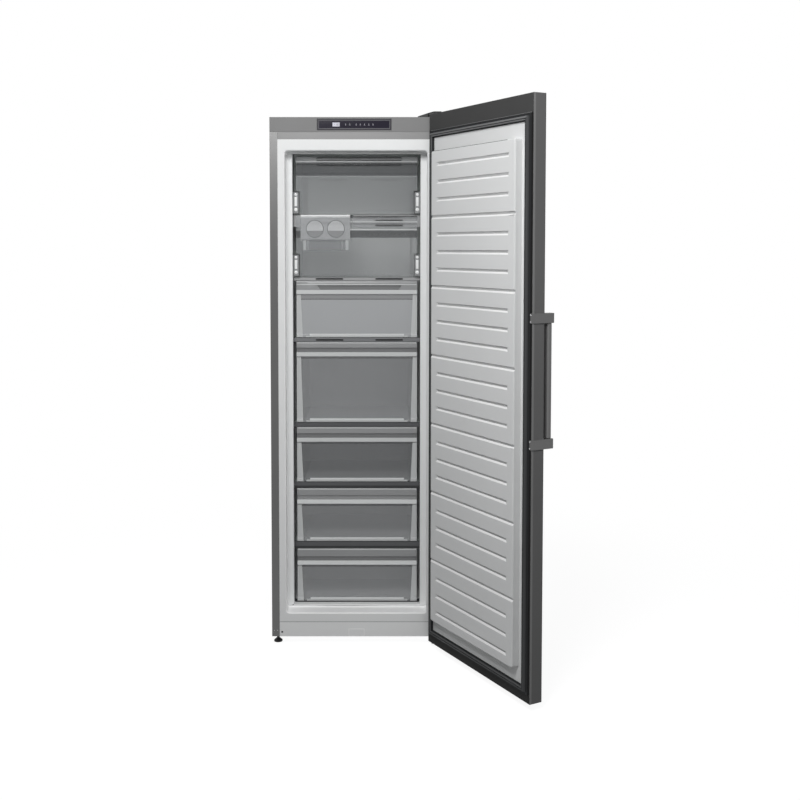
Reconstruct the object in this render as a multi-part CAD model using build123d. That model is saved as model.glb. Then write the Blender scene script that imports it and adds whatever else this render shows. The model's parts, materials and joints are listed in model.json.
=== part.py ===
from build123d import *
import os

# Upright frost-free freezer with its door standing open. Millimetres, +Z up, the front looks along -Y.
# The origin is on the floor, under the middle of the cabinet's footprint.
# The cabinet's height isn't set by itself: base, drawers, flaps, ceiling and fascia add up to it.

# ---------------------------------------------------------------- driving dimensions: cabinet
CABINET_WIDTH = 595.0
CABINET_DEPTH = 590.0  # front flange to back panel
BASE_HEIGHT = 33.0  # floor to underside
SHEET = 1.0  # coated steel sheet of the case and the door
BASE_SHEET = 2.0
RAIL_SHEET = 2.0  # plinth and landing strip
FRONT_RETURN = 27.0  # side sheet folded round to the front
PLINTH_HEIGHT = 52.0
PLINTH_RETURN = 30.0
TAB_WIDTH = 52.0
TAB_HEIGHT = 21.0
TAB_RISE = 5.0
TAB_PROUD = 0.8
SPARE_HOLE_RADIUS = 3.5  # takes the hinge when the door is hung on the left
SPARE_HOLE_INSET = 8.5
SPARE_HOLE_RISE = 16.0
FASCIA_HEIGHT = 51.0
FASCIA_DEPTH = 25.0
FASCIA_WALL = 2.5
LANDING_HEIGHT = 25.0  # steel strip under the fascia that the seal's magnet meets

# ---------------------------------------------------------------- driving dimensions: inner liner
LINER_WALL = 2.0
TOP_FLANGE = 40.0  # white flange above the recess
SIDE_FLANGE = 21.5  # white flange beside the recess
LEDGE_HEIGHT = 85.0  # underside of the cabinet to the front edge of the recess floor
RECESS_DEPTH = 58.0  # the door's raised panel enters this
RECESS_RADIUS = 10.0
STEP_WIDTH = 24.3  # shoulder between recess and food space
FLOOR_STEP = 8.4  # recess floor up to the food space floor
CEILING_STEP = 1.0
REAR_WALL = 60.0  # food space's rear wall to the outside of the back panel
SPACE_RADIUS = 6.0
BACK_GAP = 8.0  # between the foam and the back panel, for the condenser
SHELF_RIB_WIDTH = 8.0
SHELF_RIB_HEIGHT = 6.0

# ---------------------------------------------------------------- driving dimensions: machine bay
BAY_DEPTH = 210.0
BAY_HEIGHT = 265.0
BAY_FOAM = 28.0  # foam between the bay and the food space
COMPRESSOR_RADIUS = 72.0
COMPRESSOR_HEIGHT = 165.0
COMPRESSOR_SIDE_GAP = 177.5  # the can's axis in from the cabinet's side
COMPRESSOR_DOME = 32.0
COMPRESSOR_FOOT_WIDTH = 170.0
COMPRESSOR_FOOT_DEPTH = 124.0
COMPRESSOR_FOOT_SHEET = 3.0
TERMINAL_REACH = 28.0
TERMINAL_WIDTH = 60.0
TERMINAL_HEIGHT = 55.0
TERMINAL_RISE = 50.0
PIPE_RADIUS = 4.0
PIPE_REACH = 40.0
PIPE_RISE = 60.0
MOUNT_HEIGHT = 14.0
MOUNT_RADIUS = 11.0
MOUNT_INSET = 15.0
DRIP_TRAY_WIDTH = 160.0
DRIP_TRAY_DEPTH = 140.0
DRIP_TRAY_HEIGHT = 32.0
DRIP_TRAY_WALL = 2.0
CONDENSER_TUBE = 6.0
CONDENSER_RUNS = 10
CONDENSER_SIDE_MARGIN = 50.0
CONDENSER_END_MARGIN = 60.0
CONDENSER_STRAPS = 3
STRAP_SHEET = 1.0
STRAP_WIDTH = 16.0
STRAP_OVERHANG = 15.0
VENT_WIDTH = 60.0
VENT_HEIGHT = 5.0
VENT_ROWS = 10
VENT_ROW_PITCH = 15.0
VENT_COLUMNS = 7
VENT_COLUMN_PITCH = 74.0
VENT_RISE = 50.0  # base pan to the lowest row
GLAND_RADIUS = 9.0
GLAND_BORE = 4.0
GLAND_LENGTH = 16.0
GLAND_COLLAR = 4.0
GLAND_INSET = 45.0
GLAND_RISE = 25.0

# ---------------------------------------------------------------- driving dimensions: cold air
DUCT_DEPTH = 45.0
DUCT_SIDE_GAP = 24.7  # food space's side wall to the duct cover
DUCT_STEP_GAP = 8.0  # above the step over the machine bay
DUCT_TOP_GAP = 6.0
DUCT_WALL = 2.5
AIR_SLOT_WIDTH = 110.0
AIR_SLOT_HEIGHT = 6.0
AIR_SLOT_DROP = 30.0  # shelf's top to the slot's lower edge
AIR_SLOT_CEILING_DROP = 70.0
GRILLE_ROWS = 7
GRILLE_PITCH = 12.0
GRILLE_SLOT = 6.0
GRILLE_WIDTH = 70.0
FAN_RADIUS = 50.0
FAN_RISE = 290.4  # evaporator's top to the fan's axis
FAN_BLADES = 5
BLADE_CHORD = 16.0
BLADE_THICKNESS = 1.6
BLADE_TWIST = 32  # degrees out of the fan's plane
HUB_RADIUS = 12.0
HUB_LENGTH = 16.0
HUB_CLEARANCE = 0.06
HUB_MOTOR_GAP = 1.0
MOTOR_RADIUS = 24.0
MOTOR_LENGTH = 20.0
SHAFT_RADIUS = 2.5
SHAFT_LENGTH = 16.0
EVAPORATOR_SIDE_GAP = 27.5  # duct cover's side wall to the coil
EVAPORATOR_HEIGHT = 260.0
EVAPORATOR_DEPTH = 34.0
EVAPORATOR_RISE = 20.0  # above the step over the machine bay
EVAPORATOR_FINS = 24
FIN_THICKNESS = 0.5
END_PLATE_THICKNESS = 1.6
COIL_ROWS = 6
COIL_TUBE_RADIUS = 4.0

# ---------------------------------------------------------------- driving dimensions: drawers, flaps, shelves
FRONT_SETBACK = 90.0  # cabinet front to the faces of drawers and flaps
FRONT_SIDE_GAP = 10.2  # food space's side wall to the fronts of drawers and flaps
DRAWER_HEIGHTS = (191.0, 191.0, 196.0, 286.0, 201.0)  # from the lowest up
SHELF_BANDS = (28.0, 25.0, 19.0, 17.5, 14.5)  # gap over each drawer, filled by the next shelf
RUNNER = 2.0  # skids under each drawer
RUNNING_GAP = 0.5
FRONT_WALL = 3.0
FRONT_DEPTH = 9.0
FRONT_CHAMFER = 3.0
FRONT_TOP_CHAMFER = 5.0
BAND_HEIGHT = 22.0  # plain band at the top of a drawer front
GROOVE_HEIGHT = 16.0
GROOVE_DEPTH = 5.0
LIP_HEIGHT = 14.0
FOOT_STRIP = 12.0
GRIP_MARGIN = 64.5  # front's side edge to the finger grip
GRIP_TAPER = 12.0
BIN_WALL = 2.2
BIN_TOP_INSET = 14.5  # bin side wall inside the front's edge, at the rim
BIN_FLOOR_INSET = 22.5  # and at the floor
BIN_REAR_GAP = 12.0
BIN_RIM = 6.0
SKID_WIDTH = 8.0
SKID_INSET = 22.0
GLASS = 4.0
TRIM_DEPTH = 18.0
TRIM_SETBACK = 6.0
TRIM_REBATE = 10.0
TRIM_GAP = 1.0  # under a rail, over the drawer below it
TOP_TRIM_HEIGHT = 42.0
SLOT_CENTRE = 106.0
SLOT_WIDTH = 97.0
SLOT_HEIGHT = 5.0
SLOT_DEPTH = 4.0
TOP_RAIL_SLOTS = (18.5, 36.5)  # shelf's top down to each row of slots
SECOND_RAIL_SLOTS = (5.5,)
THIRD_RAIL_SLOTS = (7.5,)
LOWER_FLAP_HEIGHT = 215.0
UPPER_FLAP_HEIGHT = 203.0
FLAP_SPACING = 6.0  # between the two flaps
FLAP_TOP_GAP = 10.1  # upper flap to the food space's ceiling
FLAP_RAIL = 24.0  # height of the rail along a flap's top
FLAP_RAIL_PROUD = 10.0
FLAP_RAIL_EDGE = 3.0
FLAP_RAIL_SLOPE = 8.0
FLAP_BAND = 36.0  # thicker band under the rail
FLAP_BAND_PROUD = 2.0
SCOOP_DEPTH = 7.0
SCOOP_LIP = 4.0
SCOOP_SILL = 6.0
PIVOT_RISE = 16.0  # flap's lower edge to its pivot
PIVOT_RADIUS = 3.0
PIVOT_CLEARANCE = 0.08
PIVOT_REACH = 10.0  # how far a pin enters its cheek
PIVOT_END_GAP = 2.0
BOSS_RADIUS = 5.5
BOSS_LENGTH = 14.0
BRACKET_BELOW = 14.0
BRACKET_ABOVE = 62.0
BRACKET_WIDTH = 21.0
BRACKET_DEPTH = 20.0
BRACKET_WALL = 4.0
BRACKET_WEB = 6.0
BRACKET_SOLID = 14.0  # solid round the pin's bore
BRACKET_CROWN = 8.0
NOTCH_GAP = 4.0
NECK_GAP = 2.0

# ---------------------------------------------------------------- driving dimensions: ice maker
ICE_SIDE_GAP = 25.7  # food space's left wall to the ice maker
ICE_WIDTH = 176.0
ICE_HEIGHT = 87.0
ICE_DEPTH = 165.0
ICE_WALL = 2.5
ICE_RAIL_DROP = 6.0
ICE_RAIL_WIDTH = 7.0
ICE_RAIL_SHEET = 2.0
ICE_EAR_GAP = 1.0
KNOB_SPACING = 74.5
KNOB_RADIUS = 32.0
KNOB_DROP = 50.0  # top of the ice maker to the knob axes
KNOB_PROUD = 2.0
KNOB_GAP = 0.5
KNOB_FLANGE = 3.0
KNOB_RIM = 6.0
KNOB_GRIP_DROP = 4.0  # grip recess starts this far under the knob's axis
TRAY_WIDTH = 56.0
TRAY_HEIGHT = 26.0
TRAY_WALL = 2.0
TRAY_CELLS = 5
TRAY_REAR_GAP = 4.0
TRAY_JOURNAL = 5.0
JOURNAL_CLEARANCE = 0.08
ICE_BIN_DROP = 40.0
ICE_BIN_RIM = 2.0
ICE_BIN_RIM_DROP = 4.0
ICE_BIN_SIDE_GAP = 1.0
ICE_BIN_REAR_GAP = 10.0

# ---------------------------------------------------------------- driving dimensions: controls
BEZEL_CENTRE_X = -6.0
BEZEL_WIDTH = 256.0
BEZEL_HEIGHT = 39.0
BEZEL_DEPTH = 6.0
BEZEL_FRAME = 7.0
WINDOW_SETBACK = 0.5
WINDOW_THICKNESS = 2.0
KEY_PLACES = (-35.5, -21.0)
KEY_WIDTH = 10.0
KEY_HEIGHT = 12.0
KEY_SETBACK = 0.2
KEY_DEPTH = 3.5
KEY_GAP = 0.3
BOARD_THICKNESS = 1.6

# ---------------------------------------------------------------- driving dimensions: door
DOOR_OPEN_ANGLE = 118.3  # how far the door stands open
DOOR_STANDOFF = 12.0  # cabinet front to the door's inner face when shut, filled by the seal
DOOR_THICKNESS = 47.6
DOOR_ABOVE = 6.0  # door's top over the cabinet's top
DOOR_BELOW = 8.0  # door's foot under the cabinet's underside
DOOR_CORNER = 6.0
DOOR_RETURN = 9.0
TOP_CAP_HEIGHT = 56.0
BOTTOM_CAP_HEIGHT = 26.0
CAP_WALL = 3.0
DOOR_LINER_WALL = 1.5
PANEL_PROUD = 26.0  # raised panel of the door liner
PANEL_SIDE_GAP = 7.0  # panel's side to the recess when the door is shut
PANEL_TOP_GAP = 8.0
PANEL_BOTTOM_GAP = 4.0
PANEL_RADIUS = 8.0
PANEL_DIVIDERS = 6
TOP_DIVIDER_DROP = 221.0  # panel's top to the first divider
BOTTOM_DIVIDER_RISE = 212.0  # panel's foot to the last divider
RIBS_PER_SECTION = 3
LINER_GROOVE = 9.0
LINER_GROOVE_DEPTH = 4.0
RIB_SIDE_MARGIN = 33.0
SEAL_WIDTH = 24.0
SEAL_BASE = 4.0
SEAL_GAP = 0.3
SEAL_SHOULDER = 9.0
SEAL_HEEL = 2.0
SEAL_TOP_GAP = 2.0
HINGE_INSET = 20.0  # pin in from the door's side
HINGE_FORWARD = 30.6  # pin in front of the cabinet
PIN_RADIUS = 4.0
PIN_LENGTH = 20.0
PIN_CLEARANCE = 0.06
BUSH_WALL = 2.0
BUSH_END_GAP = 2.0
HINGE_PLATE = 3.0
HINGE_GAP = 1.5
HINGE_WIDTH = 30.0
HINGE_TAIL = 93.0  # hinge plate behind the cabinet front
HINGE_TAIL_WIDTH = 72.0
HINGE_WAIST = 40.0  # plate's width where it crosses the cabinet's front
HINGE_SIDE_GAP = 8.0  # plate in from the cabinet's side
HINGE_NOSE = 10.0  # plate in front of the pin
HINGE_COVER_WALL = 2.0
HINGE_COVER_ROOM = 1.5  # over the plate, for the screw heads
HINGE_SCREW = 4.0
LOWER_HINGE_TAIL = 25.0
HINGE_SCREW_SETBACK = 51.0  # behind the cabinet's front, midway between the upper hinge's screws
HINGE_SCREW_SPACING = 46.0
BLANK_RISE = 22.0
BLANK_SPACING = 10.8

# ---------------------------------------------------------------- driving dimensions: handle
HANDLE_MIDDLE = 1002.0
HANDLE_SPACING = 378.0
HEAD_HEIGHT = 30.0
HEAD_THICKNESS = 3.0
HEAD_LIP = 8.0
HANDLE_REACH = 31.0
BAR_WIDTH = 18.0
BAR_DEPTH = 18.0
BAR_SIDE_GAP = 0.5
BAR_GAP = 9.5
BAR_RADIUS = 7.0
SCREW_RADIUS = 2.5
SCREW_HEAD = 1.2
SCREW_SPACING = 20.0

# ---------------------------------------------------------------- driving dimensions: feet and rollers
FOOT_RADIUS = 15.0
FOOT_DISC = 5.0
FOOT_CONE = 7.0
FOOT_COLLAR = 2.0
FOOT_STEM = 5.0
FOOT_CLEARANCE = 0.08
FOOT_INSET = 17.5
FOOT_SETBACK = 45.0
FOOT_NUT_RADIUS = 9.0
FOOT_NUT_HEIGHT = 12.0
FOOT_WELL_GAP = 1.0
FOOT_WELL_HEAD = 5.0
ROLLER_RADIUS = 15.0
ROLLER_WIDTH = 14.0
ROLLER_INSET = 45.0
ROLLER_SETBACK = 33.0
ROLLER_SIDE_GAP = 1.0
AXLE_RADIUS = 4.0
AXLE_CLEARANCE = 0.08
AXLE_END = 4.0
FORK_WALL = 4.0  # round the axle's bore
FORK_CHEEK = 2.0
FORK_BRIDGE = 1.5

# ---------------------------------------------------------------- places worked out from them
HALF = CABINET_WIDTH / 2
FRONT = -CABINET_DEPTH / 2
BACK = CABINET_DEPTH / 2
BASE = BASE_HEIGHT
PAN_TOP = BASE + BASE_SHEET
PLINTH_TOP = BASE + PLINTH_HEIGHT
FLANGE_HALF = HALF - FRONT_RETURN
RECESS_HALF = FLANGE_HALF - SIDE_FLANGE
RECESS_FLOOR = BASE + LEDGE_HEIGHT
SHOULDER = FRONT + RECESS_DEPTH
SPACE_HALF = RECESS_HALF - STEP_WIDTH
SPACE_FLOOR = RECESS_FLOOR + FLOOR_STEP
SPACE_REAR = BACK - REAR_WALL
FOAM_BACK = BACK - SHEET - BACK_GAP

FACE = FRONT + FRONT_SETBACK
FRONT_HALF = SPACE_HALF - FRONT_SIDE_GAP
GRIP_HALF = FRONT_HALF - GRIP_MARGIN
DRAWER_COUNT = len(DRAWER_HEIGHTS)
TRIM_FACE = FACE + TRIM_SETBACK


def drawer_floors():
    """Lower edge of each drawer front from the lowest up, and of the lower flap after them."""
    edges = [SPACE_FLOOR + RUNNER + RUNNING_GAP]
    for height, band in zip(DRAWER_HEIGHTS, SHELF_BANDS):
        edges.append(edges[-1] + height + band)
    return edges


FLOORS = drawer_floors()
LOWER_FLAP = FLOORS[-1]
UPPER_FLAP = LOWER_FLAP + LOWER_FLAP_HEIGHT + FLAP_SPACING
SPACE_TOP = UPPER_FLAP + UPPER_FLAP_HEIGHT + FLAP_TOP_GAP
RECESS_Z = (RECESS_FLOOR, SPACE_TOP + CEILING_STEP)
LANDING_BOTTOM = RECESS_Z[1] + TOP_FLANGE
FASCIA_BOTTOM = LANDING_BOTTOM + LANDING_HEIGHT
TOP = FASCIA_BOTTOM + FASCIA_HEIGHT
# Top of each glass shelf, from the lowest up: under every drawer but the lowest, and under each flap.
GLASS_TOPS = [z - RUNNER - RUNNING_GAP for z in FLOORS[1:]] + [UPPER_FLAP - RUNNER - RUNNING_GAP]
PIVOT_Y = FACE + FRONT_WALL / 2
BRACKET_INNER = SPACE_HALF - BRACKET_WIDTH

BAY_FRONT = BACK - BAY_DEPTH
BAY_TOP = BASE + BAY_HEIGHT
BAY_MIDDLE = (BAY_FRONT + BACK) / 2
STEP_FRONT = BAY_FRONT - BAY_FOAM
STEP_TOP = BAY_TOP + BAY_FOAM
COMPRESSOR_X = HALF - COMPRESSOR_SIDE_GAP
COMPRESSOR_FOOT = PAN_TOP + MOUNT_HEIGHT
DUCT_FACE = SPACE_REAR - DUCT_DEPTH
DUCT_HALF = SPACE_HALF - DUCT_SIDE_GAP
EVAPORATOR_Z = (STEP_TOP + EVAPORATOR_RISE, STEP_TOP + EVAPORATOR_RISE + EVAPORATOR_HEIGHT)
FAN_Z = EVAPORATOR_Z[1] + FAN_RISE
MOTOR_FACE = SPACE_REAR - MOTOR_LENGTH

ICE_X = (-SPACE_HALF + ICE_SIDE_GAP, -SPACE_HALF + ICE_SIDE_GAP + ICE_WIDTH)
ICE_CENTRE_X = sum(ICE_X) / 2
ICE_TOP = GLASS_TOPS[-1] + RUNNER / 2
ICE_BOTTOM = ICE_TOP - ICE_HEIGHT
ICE_FACE = TRIM_FACE
ICE_BACK = ICE_FACE + ICE_DEPTH
KNOB_Z = ICE_TOP - KNOB_DROP
KNOB_PLACES = (ICE_CENTRE_X - KNOB_SPACING / 2, ICE_CENTRE_X + KNOB_SPACING / 2)

BEZEL_Z = (FASCIA_BOTTOM + TOP) / 2

DOOR_INNER = FRONT - DOOR_STANDOFF
DOOR_OUTER = DOOR_INNER - DOOR_THICKNESS
DOOR_BOTTOM = BASE - DOOR_BELOW
DOOR_TOP = TOP + DOOR_ABOVE
DOOR_CAP_Z = DOOR_TOP - TOP_CAP_HEIGHT
DOOR_FOOT_Z = DOOR_BOTTOM + BOTTOM_CAP_HEIGHT
PANEL_HALF = RECESS_HALF - PANEL_SIDE_GAP
PANEL_TOP = RECESS_Z[1] - PANEL_TOP_GAP
PANEL_BOTTOM = RECESS_Z[0] + PANEL_BOTTOM_GAP
SEAL_HALF = HALF - DOOR_RETURN
HINGE_X = HALF - HINGE_INSET
HINGE_Y = FRONT - HINGE_FORWARD
BUSH_RADIUS = PIN_RADIUS + PIN_CLEARANCE + BUSH_WALL
BUSH_LENGTH = PIN_LENGTH + BUSH_END_GAP
HINGE_PLATE_Z = (DOOR_TOP + HINGE_GAP, DOOR_TOP + HINGE_GAP + HINGE_PLATE)
HEAD_CENTRES = (HANDLE_MIDDLE - HANDLE_SPACING / 2, HANDLE_MIDDLE + HANDLE_SPACING / 2)

FOOT_X = HALF - FOOT_INSET
FOOT_Y = FRONT + FOOT_SETBACK
ROLLER_X = HALF - ROLLER_INSET
ROLLER_Y = BACK - ROLLER_SETBACK


# ---------------------------------------------------------------- shapes used by many pieces
def block(x, y, z):
    """Box between a pair of places on each axis."""
    middle = Pos((x[0] + x[1]) / 2, (y[0] + y[1]) / 2, (z[0] + z[1]) / 2)
    return middle * Box(x[1] - x[0], y[1] - y[0], z[1] - z[0])


def rod(radius, start, end):
    """Round bar from one point to another."""
    start = Vector(*start)
    axis = Vector(*end) - start
    upright = (Align.CENTER, Align.CENTER, Align.MIN)
    return Plane(origin=start, z_dir=axis) * Cylinder(radius, axis.length, align=upright)


def along_x(points, x):
    """A Y-Z outline run along X."""
    return extrude(Plane.YZ.offset(x[0]) * Polygon(*points, align=None), x[1] - x[0], dir=(1, 0, 0))


def along_y(points, y):
    """An X-Z outline run along Y."""
    face = Plane(origin=(0, y[0], 0), x_dir=(1, 0, 0), z_dir=(0, -1, 0)) * Polygon(*points, align=None)
    return extrude(face, y[1] - y[0], dir=(0, 1, 0))


def tunnel(half_width, z, y, radius, grow=0.0):
    """Round-cornered rectangle run along Y, with every side moved out by grow."""
    plane = Plane(origin=(0, y[0], (z[0] + z[1]) / 2), x_dir=(1, 0, 0), z_dir=(0, -1, 0))
    outline = RectangleRounded(2 * (half_width + grow), z[1] - z[0] + 2 * grow, radius + grow)
    return extrude(plane * outline, y[1] - y[0], dir=(0, 1, 0))


def both_sides(piece):
    """A piece and its mirror image on the other side of the centre plane."""
    return piece + mirror(piece, Plane.YZ)


def group(pieces):
    """Separate solids that share one node."""
    return Compound(children=[solid for piece in pieces for solid in piece.solids()])


# ---------------------------------------------------------------- cabinet case
def cabinet_wrap():
    """One steel sheet folded over both sides and the top, with its front edges turned in."""
    outside = block((-HALF, HALF), (FRONT, BACK - SHEET), (BASE, TOP))
    inside = block((-HALF + SHEET, HALF - SHEET), (FRONT + SHEET, BACK), (BASE - SHEET, TOP - SHEET))
    mouth = block((-FLANGE_HALF, FLANGE_HALF), (FRONT - SHEET, FRONT + 2 * SHEET), (BASE - SHEET, TOP))
    head_y = (FRONT - SHEET, FRONT + FASCIA_DEPTH)
    head = block((-HALF - SHEET, HALF + SHEET), head_y, (FASCIA_BOTTOM, TOP + SHEET))
    return outside - inside - mouth - head


def back_panel():
    """Rear sheet above the machine bay."""
    return block((-HALF, HALF), (BACK - SHEET, BACK), (BAY_TOP, TOP))


def base_pan():
    """Floor sheet of the cabinet with a nut boss over each front foot."""
    pan = block((-HALF + SHEET, HALF - SHEET), (FRONT + SHEET, BACK - SHEET), (BASE, PAN_TOP))
    nut_top = PAN_TOP + FOOT_NUT_HEIGHT
    for x in (-FOOT_X, FOOT_X):
        pan += rod(FOOT_NUT_RADIUS, (x, FOOT_Y, BASE), (x, FOOT_Y, nut_top))
    for x in (-FOOT_X, FOOT_X):
        pan -= rod(FOOT_STEM + FOOT_CLEARANCE, (x, FOOT_Y, BASE - 1), (x, FOOT_Y, nut_top + 1))
    return pan


def front_plate(thickness, z):
    """Plate across the cabinet's front, between the folded edges of the case."""
    return block((-FLANGE_HALF, FLANGE_HALF), (FRONT, FRONT + thickness), z)


def plinth_foot():
    """The plinth's lower edge, turned back over the base pan."""
    return block((-FLANGE_HALF, FLANGE_HALF), (FRONT, FRONT + PLINTH_RETURN), (PAN_TOP, PAN_TOP + RAIL_SHEET))


def lower_crossrail():
    """White plinth: a front plate with a foot turned back over the base pan, and the spare hinge's hole."""
    plate = front_plate(RAIL_SHEET, (BASE, PLINTH_TOP))
    pan_edge = block((-HALF, HALF), (FRONT + SHEET, BACK), (BASE - 1, PAN_TOP))
    hole_x, hole_z = -FLANGE_HALF + SPARE_HOLE_INSET, BASE + SPARE_HOLE_RISE
    hole = rod(SPARE_HOLE_RADIUS, (hole_x, FRONT - 1, hole_z), (hole_x, FRONT + RAIL_SHEET + 1, hole_z))
    tab_z = (BASE + TAB_RISE, BASE + TAB_RISE + TAB_HEIGHT)
    tab = block((-TAB_WIDTH / 2, TAB_WIDTH / 2), (FRONT - TAB_PROUD, FRONT), tab_z)
    return plate + plinth_foot() + tab - pan_edge - hole


def top_fascia():
    """Grey plastic head of the cabinet, open behind, with the seat for the control panel."""
    outside = block((-HALF, HALF), (FRONT, FRONT + FASCIA_DEPTH), (FASCIA_BOTTOM, TOP))
    inside = block(
        (-HALF + FASCIA_WALL, HALF - FASCIA_WALL),
        (FRONT + FASCIA_WALL, FRONT + FASCIA_DEPTH + 1),
        (FASCIA_BOTTOM + FASCIA_WALL, TOP - FASCIA_WALL),
    )
    seat = block(bezel_span(0), (FRONT - 1, FRONT + FASCIA_WALL + 1), bezel_rise(0))
    return outside - inside - seat


def upper_crossrail():
    """Steel strip between fascia and liner, turned back under the fascia."""
    strip = front_plate(RAIL_SHEET, (LANDING_BOTTOM, FASCIA_BOTTOM))
    return strip + front_plate(FASCIA_DEPTH, (FASCIA_BOTTOM - RAIL_SHEET, FASCIA_BOTTOM))


def space_tunnels(grow):
    """The food space: full depth above the machine bay, shallower in front of it."""
    start = SHOULDER - 1 if grow == 0 else SHOULDER
    upper = tunnel(SPACE_HALF, (STEP_TOP, SPACE_TOP), (start, SPACE_REAR + grow), SPACE_RADIUS, grow)
    lower = tunnel(SPACE_HALF, (SPACE_FLOOR, SPACE_TOP), (start, STEP_FRONT + grow), SPACE_RADIUS, grow)
    return upper + lower


def liner_envelope():
    """Everything behind the front flange that the liner takes up, with what it holds."""
    recess = tunnel(RECESS_HALF, RECESS_Z, (FRONT, SHOULDER + LINER_WALL), RECESS_RADIUS, LINER_WALL)
    return recess + space_tunnels(LINER_WALL)


def inner_liner():
    """White formed lining: front flange, recess for the door's panel, shoulder, food space and shelf ribs."""
    flange = front_plate(LINER_WALL, (PLINTH_TOP, LANDING_BOTTOM))
    recess = tunnel(RECESS_HALF, RECESS_Z, (FRONT - 1, SHOULDER), RECESS_RADIUS)
    liner = flange + liner_envelope() - recess - space_tunnels(0)
    rib_y = (TRIM_FACE + TRIM_DEPTH, DUCT_FACE - BIN_REAR_GAP)
    for top in GLASS_TOPS:
        rib_z = (top - GLASS - SHELF_RIB_HEIGHT, top - GLASS)
        liner += both_sides(block((SPACE_HALF - SHELF_RIB_WIDTH, SPACE_HALF + LINER_WALL / 2), rib_y, rib_z))
    return liner


def cabinet_insulation():
    """Foam that fills the walls between case and liner."""
    foam = block((-HALF + SHEET, HALF - SHEET), (FRONT + SHEET, FOAM_BACK), (PAN_TOP, TOP - SHEET))
    flange = front_plate(LINER_WALL, (PLINTH_TOP, LANDING_BOTTOM))
    strip = front_plate(RAIL_SHEET, (LANDING_BOTTOM, FASCIA_BOTTOM))
    plinth = front_plate(RAIL_SHEET, (BASE, PLINTH_TOP))
    head = block((-HALF, HALF), (FRONT, FRONT + FASCIA_DEPTH), (FASCIA_BOTTOM - RAIL_SHEET, TOP))
    bay = block((-HALF, HALF), (BAY_FRONT, BACK), (BASE, BAY_TOP))
    foam = foam - flange - strip - plinth - plinth_foot() - liner_envelope() - head - bay
    for x in (-FOOT_X, FOOT_X):
        well_top = PAN_TOP + FOOT_NUT_HEIGHT + FOOT_WELL_HEAD
        foam -= rod(FOOT_NUT_RADIUS + FOOT_WELL_GAP, (x, FOOT_Y, BASE), (x, FOOT_Y, well_top))
    return foam


# ---------------------------------------------------------------- machine bay and refrigerating circuit
def compressor():
    """Hermetic compressor: domed can, foot plate, terminal box and a stub of the suction pipe."""
    low = COMPRESSOR_FOOT
    x, y = COMPRESSOR_X, BAY_MIDDLE
    can = rod(COMPRESSOR_RADIUS, (x, y, low + COMPRESSOR_FOOT_SHEET), (x, y, low + COMPRESSOR_HEIGHT))
    can = fillet(can.edges().filter_by(GeomType.CIRCLE).group_by(Axis.Z)[-1], COMPRESSOR_DOME)
    half_x, half_y = COMPRESSOR_FOOT_WIDTH / 2, COMPRESSOR_FOOT_DEPTH / 2
    foot = block((x - half_x, x + half_x), (y - half_y, y + half_y), (low, low + COMPRESSOR_FOOT_SHEET))
    terminal_x = (x - COMPRESSOR_RADIUS - TERMINAL_REACH, x - COMPRESSOR_RADIUS / 2)
    terminal_y = (y - TERMINAL_WIDTH / 2, y + TERMINAL_WIDTH / 2)
    terminals = block(terminal_x, terminal_y, (low + TERMINAL_RISE, low + TERMINAL_RISE + TERMINAL_HEIGHT))
    pipe_end = x + COMPRESSOR_RADIUS + PIPE_REACH
    pipe = rod(PIPE_RADIUS, (x + COMPRESSOR_RADIUS / 2, y, low + PIPE_RISE), (pipe_end, y, low + PIPE_RISE))
    return can + foot + terminals + pipe


def compressor_mounts():
    """Four rubber buffers under the compressor's foot plate."""
    spread_x = COMPRESSOR_FOOT_WIDTH / 2 - MOUNT_INSET
    spread_y = COMPRESSOR_FOOT_DEPTH / 2 - MOUNT_INSET
    places = [(COMPRESSOR_X + a * spread_x, BAY_MIDDLE + b * spread_y) for a in (-1, 1) for b in (-1, 1)]
    return group([rod(MOUNT_RADIUS, (x, y, PAN_TOP), (x, y, COMPRESSOR_FOOT)) for x, y in places])


def drip_tray():
    """Open tray over the compressor where defrost water dries off."""
    low = COMPRESSOR_FOOT + COMPRESSOR_HEIGHT
    high = low + DRIP_TRAY_HEIGHT
    half_x, half_y = DRIP_TRAY_WIDTH / 2, DRIP_TRAY_DEPTH / 2
    x = (COMPRESSOR_X - half_x, COMPRESSOR_X + half_x)
    y = (BAY_MIDDLE - half_y, BAY_MIDDLE + half_y)
    inside_x = (x[0] + DRIP_TRAY_WALL, x[1] - DRIP_TRAY_WALL)
    inside_y = (y[0] + DRIP_TRAY_WALL, y[1] - DRIP_TRAY_WALL)
    return block(x, y, (low, high)) - block(inside_x, inside_y, (low + DRIP_TRAY_WALL, high + 1))


def condenser():
    """Serpentine tube behind the foam, held off the back panel by flat straps."""
    radius = CONDENSER_TUBE / 2
    y = BACK - SHEET - STRAP_SHEET - radius
    low, high = BAY_TOP + CONDENSER_END_MARGIN, TOP - CONDENSER_END_MARGIN
    span = CABINET_WIDTH - 2 * CONDENSER_SIDE_MARGIN
    pitch = span / (CONDENSER_RUNS - 1)
    corners = []
    for i in range(CONDENSER_RUNS):
        x = -span / 2 + i * pitch
        corners += [(x, low), (x, high)] if i % 2 == 0 else [(x, high), (x, low)]
    path = FilletPolyline(*[(x, y, z) for x, z in corners], radius=0.49 * pitch)
    tube = sweep(Plane(origin=path @ 0, z_dir=path % 0) * Circle(radius), path=path)
    strap_half = span / 2 + STRAP_OVERHANG
    strap_y = (BACK - SHEET - STRAP_SHEET, BACK - SHEET)
    straps = []
    for i in range(CONDENSER_STRAPS):
        z = low + (i + 0.5) * (high - low) / CONDENSER_STRAPS
        straps.append(block((-strap_half, strap_half), strap_y, (z - STRAP_WIDTH / 2, z + STRAP_WIDTH / 2)))
    return group([tube] + straps)


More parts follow.
